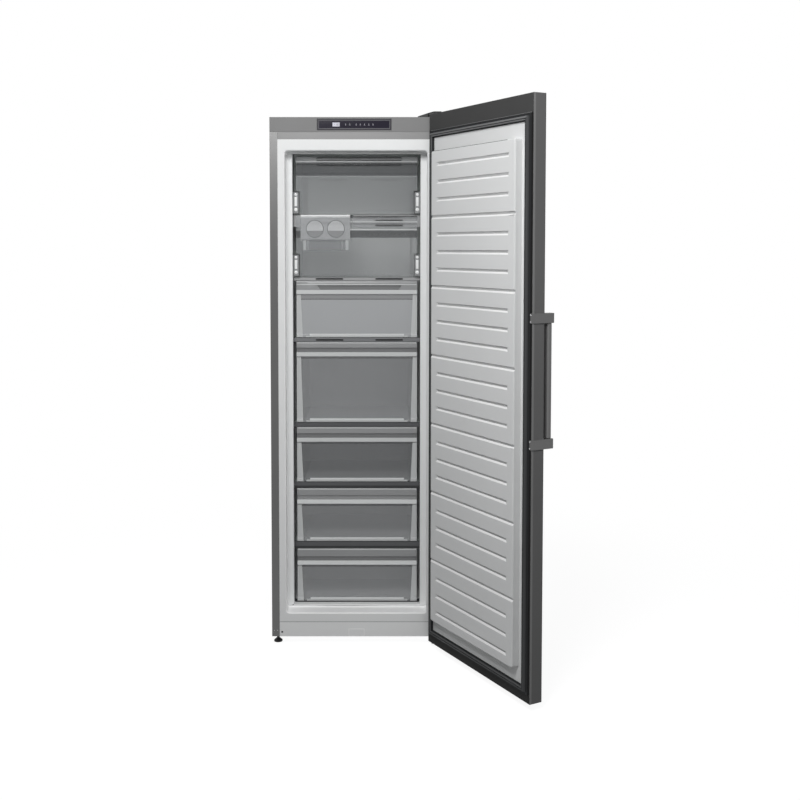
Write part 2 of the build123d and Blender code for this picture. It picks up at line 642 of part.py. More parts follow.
def rear_cover():
    """Slotted sheet that shuts the machine bay, with the hole for the mains gland."""
    cover = block((-HALF, HALF), (BACK - SHEET, BACK), (PAN_TOP, BAY_TOP))
    through = (BACK - SHEET - 1, BACK + 1)
    for row in range(VENT_ROWS):
        low = PAN_TOP + VENT_RISE + row * VENT_ROW_PITCH
        for column in range(VENT_COLUMNS):
            x = (column - (VENT_COLUMNS - 1) / 2) * VENT_COLUMN_PITCH
            cover -= block((x - VENT_WIDTH / 2, x + VENT_WIDTH / 2), through, (low, low + VENT_HEIGHT))
    x, z = gland_place()
    return cover - rod(GLAND_RADIUS, (x, through[0], z), (x, through[1], z))


def gland_place():
    """Centre of the mains gland on the rear cover."""
    return -HALF + GLAND_INSET, PAN_TOP + GLAND_RISE


def power_gland():
    """Moulded bush where the mains lead would enter, flush with the back."""
    x, z = gland_place()
    inner = BACK - SHEET
    body = rod(GLAND_RADIUS, (x, inner - GLAND_LENGTH, z), (x, BACK, z))
    collar = rod(GLAND_RADIUS + GLAND_COLLAR, (x, inner - GLAND_COLLAR, z), (x, inner, z))
    bore = rod(GLAND_BORE, (x, inner - GLAND_LENGTH - 1, z), (x, BACK + 1, z))
    return body + collar - bore


def air_duct_cover():
    """White cover over evaporator and fan, with rows of air slots and the fan's grille."""
    z = (STEP_TOP + DUCT_STEP_GAP, SPACE_TOP - DUCT_TOP_GAP)
    inside_half = DUCT_HALF - DUCT_WALL
    inside_y = (DUCT_FACE + DUCT_WALL, SPACE_REAR + 1)
    cover = block((-DUCT_HALF, DUCT_HALF), (DUCT_FACE, SPACE_REAR), z)
    cover -= block((-inside_half, inside_half), inside_y, (z[0] + DUCT_WALL, z[1] - DUCT_WALL))
    through = (DUCT_FACE - 1, DUCT_FACE + DUCT_WALL + 1)
    slots = [top - AIR_SLOT_DROP for top in GLASS_TOPS[1:]] + [SPACE_TOP - AIR_SLOT_CEILING_DROP]
    for low in slots:
        for x in (-DUCT_HALF / 2, DUCT_HALF / 2):
            slot_x = (x - AIR_SLOT_WIDTH / 2, x + AIR_SLOT_WIDTH / 2)
            cover -= block(slot_x, through, (low, low + AIR_SLOT_HEIGHT))
    for row in range(GRILLE_ROWS):
        middle = FAN_Z + (row - (GRILLE_ROWS - 1) / 2) * GRILLE_PITCH
        grille_z = (middle - GRILLE_SLOT / 2, middle + GRILLE_SLOT / 2)
        cover -= block((-GRILLE_WIDTH / 2, GRILLE_WIDTH / 2), through, grille_z)
    return cover


def evaporator():
    """Finned coil low behind the duct cover: upright fins on level tubes, between two end plates."""
    y = (SPACE_REAR - EVAPORATOR_DEPTH, SPACE_REAR)
    half = DUCT_HALF - DUCT_WALL - EVAPORATOR_SIDE_GAP
    pitch = 2 * half / (EVAPORATOR_FINS - 1)
    end = half - END_PLATE_THICKNESS / 2
    coil = both_sides(block((end, end + END_PLATE_THICKNESS), y, EVAPORATOR_Z))
    for i in range(1, EVAPORATOR_FINS - 1):
        x = -half + i * pitch
        coil += block((x - FIN_THICKNESS / 2, x + FIN_THICKNESS / 2), y, EVAPORATOR_Z)
    for row in range(COIL_ROWS):
        z = EVAPORATOR_Z[0] + EVAPORATOR_HEIGHT * (row + 0.5) / COIL_ROWS
        coil += rod(COIL_TUBE_RADIUS, (-half, sum(y) / 2, z), (half, sum(y) / 2, z))
    return coil


def fan_motor():
    """Small motor on the rear wall, with the shaft that carries the fan."""
    body = rod(MOTOR_RADIUS, (0, MOTOR_FACE, FAN_Z), (0, SPACE_REAR, FAN_Z))
    return body + rod(SHAFT_RADIUS, (0, MOTOR_FACE - SHAFT_LENGTH, FAN_Z), (0, MOTOR_FACE, FAN_Z))


def fan_rotor():
    """Hub with pitched blades, running on the motor's shaft."""
    rear = MOTOR_FACE - HUB_MOTOR_GAP
    front = rear - HUB_LENGTH
    span = FAN_RADIUS - HUB_RADIUS / 2
    rotor = rod(HUB_RADIUS, (0, front, FAN_Z), (0, rear, FAN_Z))
    for i in range(FAN_BLADES):
        blade = Rot(0, 0, BLADE_TWIST) * Box(BLADE_CHORD, BLADE_THICKNESS, span)
        blade = Rot(0, 360 * i / FAN_BLADES, 0) * Pos(0, 0, FAN_RADIUS - span / 2) * blade
        rotor += Pos(0, (front + rear) / 2, FAN_Z) * blade
    bore_end = MOTOR_FACE - SHAFT_LENGTH
    return rotor - rod(SHAFT_RADIUS + HUB_CLEARANCE, (0, bore_end, FAN_Z), (0, rear + 1, FAN_Z))


# ---------------------------------------------------------------- controls
def bezel_span(inset):
    """Left and right side of the control panel."""
    return BEZEL_CENTRE_X - BEZEL_WIDTH / 2 + inset, BEZEL_CENTRE_X + BEZEL_WIDTH / 2 - inset


def bezel_rise(inset):
    """Lower and upper side of the control panel."""
    return BEZEL_Z - BEZEL_HEIGHT / 2 + inset, BEZEL_Z + BEZEL_HEIGHT / 2 - inset


def control_bezel():
    """Grey frame set in the fascia's seat."""
    frame = block(bezel_span(0), (FRONT, FRONT + BEZEL_DEPTH), bezel_rise(0))
    through = (FRONT - 1, FRONT + BEZEL_DEPTH + 1)
    return frame - block(bezel_span(BEZEL_FRAME), through, bezel_rise(BEZEL_FRAME))


def control_window():
    """Dark pane in the frame, with a hole round each key."""
    y = (FRONT + WINDOW_SETBACK, FRONT + WINDOW_SETBACK + WINDOW_THICKNESS)
    pane = block(bezel_span(BEZEL_FRAME), y, bezel_rise(BEZEL_FRAME))
    for x in KEY_PLACES:
        pane -= block(*key_outline(x, KEY_GAP, (y[0] - 1, y[1] + 1)))
    return pane


def key_outline(x, grow, y):
    """Extents of a key, or of the hole round it."""
    half_x, half_z = KEY_WIDTH / 2 + grow, KEY_HEIGHT / 2 + grow
    return (x - half_x, x + half_x), y, (BEZEL_Z - half_z, BEZEL_Z + half_z)


def control_key(x):
    """Push key that stands in the pane."""
    return block(*key_outline(x, 0, (FRONT + KEY_SETBACK, FRONT + KEY_SETBACK + KEY_DEPTH)))


def control_board():
    """Circuit board screwed to the back of the frame."""
    y = (FRONT + BEZEL_DEPTH, FRONT + BEZEL_DEPTH + BOARD_THICKNESS)
    return block(bezel_span(BEZEL_FRAME / 2), y, bezel_rise(BEZEL_FRAME / 2))


# ---------------------------------------------------------------- shelves
def shelf_trim_height(index):
    """Height of one shelf's front rail."""
    return TOP_TRIM_HEIGHT if index == DRAWER_COUNT else SHELF_BANDS[index] - RUNNER - RUNNING_GAP - TRIM_GAP


def glass_shelves():
    """Six glass plates on the liner's ribs."""
    y = (TRIM_FACE + TRIM_DEPTH - TRIM_REBATE, DUCT_FACE - BIN_REAR_GAP)
    half = SPACE_HALF - RUNNING_GAP
    return group([block((-half, half), y, (top - GLASS, top)) for top in GLASS_TOPS])


def shelf_trims():
    """Front rail of each shelf with a rebate for the glass, and the slots of the upper three."""
    half = SPACE_HALF - RUNNING_GAP
    slots = dict(zip(range(DRAWER_COUNT, -1, -1), (TOP_RAIL_SLOTS, SECOND_RAIL_SLOTS, THIRD_RAIL_SLOTS)))
    trims = []
    for index, top in enumerate(GLASS_TOPS):
        bar = block((-half, half), (TRIM_FACE, TRIM_FACE + TRIM_DEPTH), (top - shelf_trim_height(index), top))
        rebate = (TRIM_FACE + TRIM_DEPTH - TRIM_REBATE, TRIM_FACE + TRIM_DEPTH + 1)
        bar -= block((-half - 1, half + 1), rebate, (top - GLASS, top + 1))
        for drop in slots.get(index, ()):
            slot_z = (top - drop - SLOT_HEIGHT / 2, top - drop + SLOT_HEIGHT / 2)
            slot_x = (SLOT_CENTRE - SLOT_WIDTH / 2, SLOT_CENTRE + SLOT_WIDTH / 2)
            bar -= both_sides(block(slot_x, (TRIM_FACE - 1, TRIM_FACE + SLOT_DEPTH), slot_z))
        if index == DRAWER_COUNT:
            bar -= ice_maker_room(top)
        trims.append(bar)
    return group(trims)


def ice_maker_room(top):
    """What the ice maker takes out of the top shelf's rail."""
    x = (ICE_X[0] - RUNNING_GAP, ICE_X[1] + RUNNING_GAP)
    low = top - TOP_TRIM_HEIGHT - 1
    face = block(x, (TRIM_FACE - 1, TRIM_FACE + ICE_WALL + RUNNING_GAP), (low, top + 1))
    below = block(x, (TRIM_FACE - 1, TRIM_FACE + TRIM_DEPTH + 1), (low, top - GLASS - SHELF_RIB_HEIGHT))
    return face + below


# ---------------------------------------------------------------- drawers
def drawer_rear(index):
    """Rear of one drawer: the lowest stops short of the machine bay."""
    return (STEP_FRONT if index == 0 else DUCT_FACE) - BIN_REAR_GAP


def drawer_front(index):
    """Clear front with its top band, finger groove, lip, thin window and foot strip."""
    low = FLOORS[index]
    top = low + DRAWER_HEIGHTS[index]
    groove_top = top - BAND_HEIGHT
    groove_low = groove_top - GROOVE_HEIGHT
    lip_low = groove_low - LIP_HEIGHT
    rear = FACE + FRONT_DEPTH
    pane = rear - FRONT_WALL
    edge = FACE + FRONT_CHAMFER
    outline = [
        (edge, top),
        (FACE, top - FRONT_TOP_CHAMFER),
        (FACE, lip_low),
        (edge, lip_low - FRONT_CHAMFER),
        (pane, lip_low - FRONT_CHAMFER),
        (pane, low + FOOT_STRIP),
        (edge, low + FOOT_STRIP - FRONT_CHAMFER),
        (edge, low),
        (rear, low),
        (rear, top),
    ]
    front = along_x(outline, (-FRONT_HALF, FRONT_HALF))
    groove_y = (FACE - 1, FACE + GROOVE_DEPTH)
    if index == DRAWER_COUNT - 1:
        corners = [
            (-GRIP_HALF, groove_top),
            (GRIP_HALF, groove_top),
            (GRIP_HALF - GRIP_TAPER, groove_low),
            (GRIP_TAPER - GRIP_HALF, groove_low),
        ]
        return front - along_y(corners, groove_y)
    return front - block((-FRONT_HALF - 1, FRONT_HALF + 1), groove_y, (groove_low, groove_top))


def drawer_rim(index):
    """Height of a drawer bin's rim."""
    return FLOORS[index] + DRAWER_HEIGHTS[index] - BAND_HEIGHT - GROOVE_HEIGHT


def bin_section(index, wall):
    """X-Z outline of a drawer bin, inside its walls by wall: wider at the rim than at the floor."""
    low = FLOORS[index] + wall
    high = drawer_rim(index) + (1 if wall else 0)
    floor_half = FRONT_HALF - BIN_FLOOR_INSET - wall
    rim_half = FRONT_HALF - BIN_TOP_INSET - wall
    return [(-floor_half, low), (floor_half, low), (rim_half, high), (-rim_half, high)]


def drawer_bin(index):
    """Tapered tub behind the front: floor, two sides and a rear wall, a rim at each side and two skids."""
    y = (FACE + FRONT_DEPTH, drawer_rear(index))
    tub = along_y(bin_section(index, 0), y)
    tub -= along_y(bin_section(index, BIN_WALL), (y[0] - 1, y[1] - BIN_WALL))
    rim_top = drawer_rim(index)
    rim_half = FRONT_HALF - BIN_TOP_INSET
    rim = block((rim_half - BIN_WALL, rim_half + BIN_RIM), y, (rim_top - BIN_WALL, rim_top))
    skid_x = FRONT_HALF - BIN_FLOOR_INSET - SKID_INSET
    skid = block((skid_x - SKID_WIDTH, skid_x), y, (FLOORS[index] - RUNNER, FLOORS[index]))
    return tub + both_sides(rim) + both_sides(skid)


# ---------------------------------------------------------------- flaps
def flap(low, height):
    """Clear flap: thin pane, thicker band, top rail with a finger scoop, and a pin at each lower corner."""
    top = low + height
    pivot = low + PIVOT_RISE
    neck_half = BRACKET_INNER - NECK_GAP
    shoulder = pivot + BRACKET_ABOVE + NOTCH_GAP
    pane = (FACE, FACE + FRONT_WALL)
    rail_low = top - FLAP_RAIL
    body = block((-FRONT_HALF, FRONT_HALF), pane, (shoulder, top))
    body += block((-neck_half, neck_half), pane, (low, shoulder))
    body += block((-FRONT_HALF, FRONT_HALF), (FACE - FLAP_BAND_PROUD, FACE), (rail_low - FLAP_BAND, rail_low))
    proud = FACE - FLAP_RAIL_PROUD
    rail = [
        (proud + FLAP_RAIL_EDGE, top),
        (proud, top - FLAP_RAIL_EDGE),
        (proud, rail_low + FLAP_RAIL_SLOPE / 2),
        (proud + FLAP_RAIL_PROUD / 2, rail_low - FLAP_RAIL_SLOPE / 2),
        (FACE, rail_low - FLAP_RAIL_SLOPE / 2),
        (FACE, top),
    ]
    body += along_x(rail, (-FRONT_HALF, FRONT_HALF))
    scoop_z = (rail_low + SCOOP_SILL, top - SCOOP_LIP)
    body -= block((-GRIP_HALF, GRIP_HALF), (proud - 1, proud + SCOOP_DEPTH), scoop_z)
    boss = [(x, PIVOT_Y, pivot) for x in (neck_half - BOSS_LENGTH, neck_half)]
    body += both_sides(rod(BOSS_RADIUS, *boss))
    pin_end = BRACKET_INNER + PIVOT_REACH
    return body + rod(PIVOT_RADIUS, (-pin_end, PIVOT_Y, pivot), (pin_end, PIVOT_Y, pivot))


def flap_brackets():
    """Four cheeks on the liner's side walls that carry the flaps' pins."""
    y = (PIVOT_Y - BRACKET_DEPTH / 2, PIVOT_Y + BRACKET_DEPTH / 2)
    hollow_x = (BRACKET_INNER - 1, SPACE_HALF - BRACKET_WEB)
    hollow_y = (y[0] + BRACKET_WALL, y[1] - BRACKET_WALL)
    bore_end = BRACKET_INNER + PIVOT_REACH + PIVOT_END_GAP
    brackets = []
    for low in (LOWER_FLAP, UPPER_FLAP):
        pivot = low + PIVOT_RISE
        cheek = block((BRACKET_INNER, SPACE_HALF), y, (pivot - BRACKET_BELOW, pivot + BRACKET_ABOVE))
        cheek -= block(hollow_x, hollow_y, (pivot + BRACKET_SOLID, pivot + BRACKET_ABOVE - BRACKET_CROWN))
        bore = [(x, PIVOT_Y, pivot) for x in (BRACKET_INNER - 1, bore_end)]
        cheek -= rod(PIVOT_RADIUS + PIVOT_CLEARANCE, *bore)
        brackets += [cheek, mirror(cheek, Plane.YZ)]
    return group(brackets)


# ---------------------------------------------------------------- ice maker
def ice_maker_housing():
    """Frame under the top shelf: face plate round both knobs, cheeks with rails for the bin, rear plate."""
    left, right = ICE_X
    hang = GLASS_TOPS[-1] - GLASS
    rail_low = ICE_BOTTOM - ICE_RAIL_DROP
    whole_y = (ICE_FACE, ICE_BACK)
    housing = block(ICE_X, (ICE_FACE, ICE_FACE + ICE_WALL), (ICE_BOTTOM, ICE_TOP))
    housing += block(ICE_X, (ICE_BACK - ICE_WALL, ICE_BACK), (ICE_BOTTOM, hang))
    ear_y = (TRIM_FACE + TRIM_DEPTH + ICE_EAR_GAP, ICE_BACK)
    for x in ((left, left + ICE_WALL), (right - ICE_WALL, right)):
        housing += block(x, whole_y, (rail_low, hang - SHELF_RIB_HEIGHT))
        housing += block(x, ear_y, (hang - SHELF_RIB_HEIGHT - 1, hang))
    for x in ((left, left + ICE_RAIL_WIDTH), (right - ICE_RAIL_WIDTH, right)):
        housing += block(x, whole_y, (rail_low, rail_low + ICE_RAIL_SHEET))
    for x in KNOB_PLACES:
        face_y, rear_y = (ICE_FACE - 1, ICE_FACE + ICE_WALL + 1), (ICE_BACK - ICE_WALL - 1, ICE_BACK + 1)
        housing -= rod(KNOB_RADIUS + KNOB_GAP, (x, face_y[0], KNOB_Z), (x, face_y[1], KNOB_Z))
        housing -= rod(TRAY_JOURNAL + JOURNAL_CLEARANCE, (x, rear_y[0], KNOB_Z), (x, rear_y[1], KNOB_Z))
    return housing


def ice_tray(x):
    """Round knob with a grip recess, and the ice tray that turns with it, on a journal in the rear plate."""
    front = ICE_FACE - KNOB_PROUD
    behind_wall = ICE_FACE + ICE_WALL
    knob_rear = behind_wall + KNOB_FLANGE
    knob = rod(KNOB_RADIUS, (x, front, KNOB_Z), (x, knob_rear, KNOB_Z))
    lower_z = (KNOB_Z - KNOB_RADIUS, KNOB_Z - KNOB_GRIP_DROP)
    lower = block((x - KNOB_RADIUS, x + KNOB_RADIUS), (front - 1, behind_wall), lower_z)
    knob -= rod(KNOB_RADIUS - KNOB_RIM, (x, front - 1, KNOB_Z), (x, behind_wall, KNOB_Z)) & lower
    y = (knob_rear, ICE_BACK - ICE_WALL - TRAY_REAR_GAP)
    half = TRAY_WIDTH / 2
    low = KNOB_Z - TRAY_HEIGHT / 2
    tray = block((x - half, x + half), y, (low, low + TRAY_HEIGHT))
    cell_pitch = (y[1] - y[0] - TRAY_WALL) / TRAY_CELLS
    for i in range(TRAY_CELLS):
        cell_y = (y[0] + TRAY_WALL + i * cell_pitch, y[0] + (i + 1) * cell_pitch)
        for cell_x in ((x - half + TRAY_WALL, x - TRAY_WALL / 2), (x + TRAY_WALL / 2, x + half - TRAY_WALL)):
            tray -= block(cell_x, cell_y, (low + TRAY_WALL, low + TRAY_HEIGHT + 1))
    journal = rod(TRAY_JOURNAL, (x, y[1] - TRAY_WALL / 2, KNOB_Z), (x, ICE_BACK, KNOB_Z))
    return knob + tray + journal


def ice_bin():
    """Clear tub that hangs by its rim on the ice maker's rails."""
    low = ICE_BOTTOM - ICE_BIN_DROP
    rim_z = (ICE_BOTTOM - ICE_BIN_RIM_DROP, ICE_BOTTOM - ICE_BIN_RIM_DROP + ICE_BIN_RIM)
    rim_gap = ICE_WALL + RUNNING_GAP
    body_gap = ICE_RAIL_WIDTH + ICE_BIN_SIDE_GAP
    y = (ICE_FACE, ICE_BACK - ICE_BIN_REAR_GAP)
    x = (ICE_X[0] + body_gap, ICE_X[1] - body_gap)
    tub = block(x, y, (low, rim_z[1]))
    tub += block((ICE_X[0] + rim_gap, ICE_X[1] - rim_gap), y, rim_z)
    inside = ((x[0] + BIN_WALL, x[1] - BIN_WALL), (y[0] + BIN_WALL, y[1] - BIN_WALL))
    return tub - block(*inside, (low + BIN_WALL, ICE_BOTTOM + 1))


# ---------------------------------------------------------------- door, drawn shut and then swung open
def swung(piece):
    """Turn a piece of the shut door about the hinge to where the door stands."""
    return Pos(HINGE_X, HINGE_Y, 0) * Rot(0, 0, DOOR_OPEN_ANGLE) * Pos(-HINGE_X, -HINGE_Y, 0) * piece


def door_plan(inset, reach):
    """Plan of the door, inside its skin by inset, back as far as reach in front of the inner face."""
    depth = DOOR_THICKNESS - inset - reach
    plan = Pos(0, DOOR_OUTER + inset + depth / 2) * Rectangle(CABINET_WIDTH - 2 * inset, depth)
    return fillet(plan.vertices().sort_by(Axis.Y)[:2], DOOR_CORNER - inset)


def door_slab(inset, reach, z):
    """The door's plan run up between two heights."""
    return extrude(Plane.XY.offset(z[0]) * door_plan(inset, reach), z[1] - z[0], dir=(0, 0, 1))


def door_skin():
    """Coated steel skin: face, both sides and a narrow return round the inner edge, open at both ends."""
    z = (DOOR_BOTTOM, DOOR_TOP)
    skin = door_slab(0, 0, z) - door_slab(SHEET, SHEET, (z[0] - 1, z[1] + 1))
    mouth_half = HALF - DOOR_RETURN
    skin -= block((-mouth_half, mouth_half), (DOOR_INNER - 2 * SHEET, DOOR_INNER + 1), (z[0] - 1, z[1] + 1))
    for cap_z in ((z[0] - 1, DOOR_FOOT_Z), (DOOR_CAP_Z, z[1] + 1)):
        skin -= block((-HALF + SHEET, HALF - SHEET), (DOOR_INNER - 2 * SHEET, DOOR_INNER + 1), cap_z)
    return skin


def bush_outline(radius, z):
    """Upright round bar on the door's hinge axis."""
    return rod(radius, (HINGE_X, HINGE_Y, z[0]), (HINGE_X, HINGE_Y, z[1]))


def door_cap(z, plate_z):
    """Plastic end cap: hollow tray with a plate at the end and a boss round the hinge bush."""
    cap = door_slab(SHEET, 0, z) - (door_slab(SHEET + CAP_WALL, CAP_WALL, z) - door_slab(SHEET, 0, plate_z))
    return (cap + bush_outline(PIN_RADIUS + BUSH_WALL + CAP_WALL, z)) & door_slab(SHEET, 0, z)


def door_top_cap():
    """Cap over the top of the door."""
    cap = door_cap((DOOR_CAP_Z, DOOR_TOP), (DOOR_TOP - CAP_WALL, DOOR_TOP))
    return cap - bush_outline(BUSH_RADIUS, (DOOR_TOP - BUSH_LENGTH, DOOR_TOP + 1))


def door_bottom_cap():
    """Cap under the door."""
    cap = door_cap((DOOR_BOTTOM, DOOR_FOOT_Z), (DOOR_BOTTOM, DOOR_BOTTOM + CAP_WALL))
    return cap - bush_outline(BUSH_RADIUS, (DOOR_BOTTOM - 1, DOOR_BOTTOM + BUSH_LENGTH))


def door_hinge_bushes():
    """Plain bushes in both caps for the hinge pins."""
    bore = bush_outline(PIN_RADIUS + PIN_CLEARANCE, (DOOR_BOTTOM - 1, DOOR_TOP + 1))
    ends = ((DOOR_TOP - BUSH_LENGTH, DOOR_TOP), (DOOR_BOTTOM, DOOR_BOTTOM + BUSH_LENGTH))
    return group([bush_outline(BUSH_RADIUS, z) - bore for z in ends])


def panel_grooves(grow):
    """Level grooves pressed into the raised panel: dividers right across, and shorter ribs between them."""
    face = DOOR_INNER + PANEL_PROUD
    y = (face - LINER_GROOVE_DEPTH - grow, face + 1)
    half_height = LINER_GROOVE / 2 + grow
    rib_half = PANEL_HALF - RIB_SIDE_MARGIN + grow
    first = PANEL_TOP - TOP_DIVIDER_DROP
    pitch = (first - PANEL_BOTTOM - BOTTOM_DIVIDER_RISE) / (PANEL_DIVIDERS - 1)
    cuts = []
    for section in range(PANEL_DIVIDERS + 1):
        divider = first - section * pitch
        if section < PANEL_DIVIDERS:
            divider_z = (divider - half_height, divider + half_height)
            cuts.append(block((-PANEL_HALF - 1, PANEL_HALF + 1), y, divider_z))
        for rib in range(1, RIBS_PER_SECTION + 1):
            z = divider + rib * pitch / (RIBS_PER_SECTION + 1)
            cuts.append(block((-rib_half, rib_half), y, (z - half_height, z + half_height)))
    return cuts


def panel_core():
    """Hollow behind the raised panel, which the door's foam fills."""
    wall = DOOR_LINER_WALL
    start = DOOR_INNER - wall
    span = (start, DOOR_INNER + PANEL_PROUD - wall)
    core = tunnel(PANEL_HALF, (PANEL_BOTTOM, PANEL_TOP), span, PANEL_RADIUS, -wall)
    return core - panel_grooves(wall)


def liner_margin():
    """Flat sheet of the door liner, before its panel is raised."""
    y = (DOOR_INNER - DOOR_LINER_WALL, DOOR_INNER)
    return block((-SEAL_HALF, SEAL_HALF), y, (DOOR_FOOT_Z, DOOR_CAP_Z))


def door_liner(core):
    """White formed inner face: flat margin under the seal and a raised, grooved panel."""
    raised_y = (DOOR_INNER, DOOR_INNER + PANEL_PROUD)
    raised = tunnel(PANEL_HALF, (PANEL_BOTTOM, PANEL_TOP), raised_y, PANEL_RADIUS)
    return liner_margin() + raised - panel_grooves(0) - core


def door_insulation(core):
    """Foam between skin and liner."""
    slab = door_slab(SHEET, SHEET, (DOOR_FOOT_Z, DOOR_CAP_Z))
    return slab - liner_margin() + core


def seal_ring(outer_inset, inner_inset, y):
    """Rectangular ring on the door's inner face, between two distances in from the seal's outer edge."""
    low, high = DOOR_FOOT_Z, DOOR_CAP_Z - SEAL_TOP_GAP
    outer_half, inner_half = SEAL_HALF - outer_inset, SEAL_HALF - inner_inset
    outer = block((-outer_half, outer_half), y, (low + outer_inset, high - outer_inset))
    inner = block((-inner_half, inner_half), (y[0] - 1, y[1] + 1), (low + inner_inset, high - inner_inset))
    return outer - inner


def door_gasket():
    """Magnetic seal: wide foot on the liner and a narrower bulb that meets the cabinet."""
    foot = seal_ring(0, SEAL_WIDTH, (DOOR_INNER, DOOR_INNER + SEAL_BASE))
    return foot + seal_ring(SEAL_SHOULDER, SEAL_WIDTH - SEAL_HEEL, (DOOR_INNER + SEAL_BASE, FRONT - SEAL_GAP))


def handle_brackets():
    """Two straps round the free edge, each with a head that holds the bar."""
    edge = -HALF
    outer = edge - HEAD_THICKNESS
    reach = DOOR_OUTER - HANDLE_REACH
    lip_y = (DOOR_INNER, DOOR_INNER + HEAD_THICKNESS)
    heads = []
    for z in HEAD_CENTRES:
        rise = (z - HEAD_HEIGHT / 2, z + HEAD_HEIGHT / 2)
        head = block((outer, edge), (reach, lip_y[1]), rise)
        head += block((outer, edge + HEAD_LIP), lip_y, rise)
        head += block((outer, edge + BAR_WIDTH), (reach, DOOR_OUTER), rise)
        rim = head.edges().filter_by(Axis.Z).group_by(Axis.Y)[0]
        heads.append(fillet(rim, HEAD_THICKNESS / 2))
    return group(heads)


def handle_bar():
    """Upright grip between the two heads."""
    centre_y = DOOR_OUTER - BAR_GAP - BAR_DEPTH / 2
    z = (HEAD_CENTRES[0] + HEAD_HEIGHT / 2, HEAD_CENTRES[1] - HEAD_HEIGHT / 2)
    section = RectangleRounded(BAR_WIDTH - BAR_SIDE_GAP, BAR_DEPTH, BAR_RADIUS)
    section = Pos(-HALF + BAR_WIDTH / 2, centre_y) * section
    return extrude(Plane.XY.offset(z[0]) * section, z[1] - z[0], dir=(0, 0, 1))


def handle_screws():
    """Screw heads on the straps' inner lips."""
    x = -HALF + HEAD_LIP / 2
    y = DOOR_INNER + HEAD_THICKNESS
    places = [z + side * SCREW_SPACING / 2 for z in HEAD_CENTRES for side in (-1, 1)]
    return group([rod(SCREW_RADIUS, (x, y, z), (x, y + SCREW_HEAD, z)) for z in places])


# ---------------------------------------------------------------- hinges
def hinge_outline(grow):
    """Plan of the top hinge plate: broad tail on the cabinet, narrow nose round the pin."""
    tail_y = FRONT + HINGE_TAIL + grow
    nose_y = HINGE_Y - HINGE_NOSE - grow
    right = HALF - HINGE_SIDE_GAP + grow
    return [
        (right - HINGE_TAIL_WIDTH - 2 * grow, tail_y),
        (right, tail_y),
        (right, nose_y),
        (HINGE_X - HINGE_NOSE - grow, nose_y),
        (right - HINGE_WAIST - 2 * grow, FRONT),
    ]


def hinge_plate_solid(grow, z):
    """The hinge plan run up between two heights."""
    outline = Plane.XY.offset(z[0]) * Polygon(*hinge_outline(grow), align=None)
    return extrude(outline, z[1] - z[0], dir=(0, 0, 1))


def top_hinge_bracket():
    """Cranked steel plate on the cabinet's top, with the pin that enters the door."""
    plate = hinge_plate_solid(0, (HINGE_PLATE_Z[0], HINGE_PLATE_Z[1]))
    packing = hinge_plate_solid(0, (TOP, HINGE_PLATE_Z[0]))
    packing &= block((0, HALF), (FRONT + FASCIA_DEPTH, FRONT + HINGE_TAIL + 1), (TOP, HINGE_PLATE_Z[0]))
    return plate + packing + bush_outline(PIN_RADIUS, (DOOR_TOP - PIN_LENGTH, HINGE_PLATE_Z[1]))


def top_hinge_cover():
    """Black plastic cover clipped over the hinge plate."""
    plate_top = HINGE_PLATE_Z[1]
    lid_low = plate_top + HINGE_COVER_ROOM
    lid = hinge_plate_solid(HINGE_COVER_WALL, (lid_low, lid_low + HINGE_COVER_WALL))
    rim = hinge_plate_solid(HINGE_COVER_WALL, (plate_top, lid_low))
    skirt = hinge_plate_solid(HINGE_COVER_WALL, (TOP, plate_top))
    skirt &= block((0, HALF), (FRONT, FRONT + HINGE_TAIL + HINGE_COVER_WALL + 1), (TOP, plate_top))
    return lid + (rim + skirt - hinge_plate_solid(0, (TOP - 1, lid_low)))


def bottom_hinge_leg():
    """Left and right side, and lower and upper face, of the leg that reaches under the door."""
    leg_top = DOOR_BOTTOM - HINGE_GAP
    return (HINGE_X - HINGE_WIDTH / 2, HINGE_X + HINGE_WIDTH / 2), (leg_top - HINGE_PLATE, leg_top)


def bottom_hinge_bracket():
    """Cranked steel bracket under the base pan, with the pin that carries the door."""
    x, leg_z = bottom_hinge_leg()
    leg = block(x, (HINGE_Y - HINGE_NOSE, FRONT + LOWER_HINGE_TAIL), leg_z)
    packing = block(x, (FRONT + SHEET, FRONT + LOWER_HINGE_TAIL), (leg_z[1], BASE))
    return leg + packing + bush_outline(PIN_RADIUS, (leg_z[0], DOOR_BOTTOM + PIN_LENGTH))


def hinge_screws():
    """Screw heads on both hinges, and the two blanks of the spare hinge place at the left."""
    plate_top = HINGE_PLATE_Z[1]
    leg_bottom = bottom_hinge_leg()[1][0]
    screws = []
    for side in (-1, 1):
        screw_y = FRONT + HINGE_SCREW_SETBACK + side * HINGE_SCREW_SPACING / 2
        place = (HALF - HINGE_SIDE_GAP - HINGE_TAIL_WIDTH / 2, screw_y)
        screws.append(rod(HINGE_SCREW, (*place, plate_top), (*place, plate_top + SCREW_HEAD)))
        place = (HINGE_X + side * HINGE_WIDTH / 4, FRONT + LOWER_HINGE_TAIL / 2)
        screws.append(rod(HINGE_SCREW, (*place, leg_bottom - SCREW_HEAD), (*place, leg_bottom)))
        blank_x, blank_z = -HALF + (FRONT_RETURN + side * BLANK_SPACING) / 2, BASE + BLANK_RISE
        blank = [(blank_x, y, blank_z) for y in (FRONT - SCREW_HEAD / 2, FRONT)]
        screws.append(rod(SCREW_RADIUS / 2, *blank))
    return group(screws)


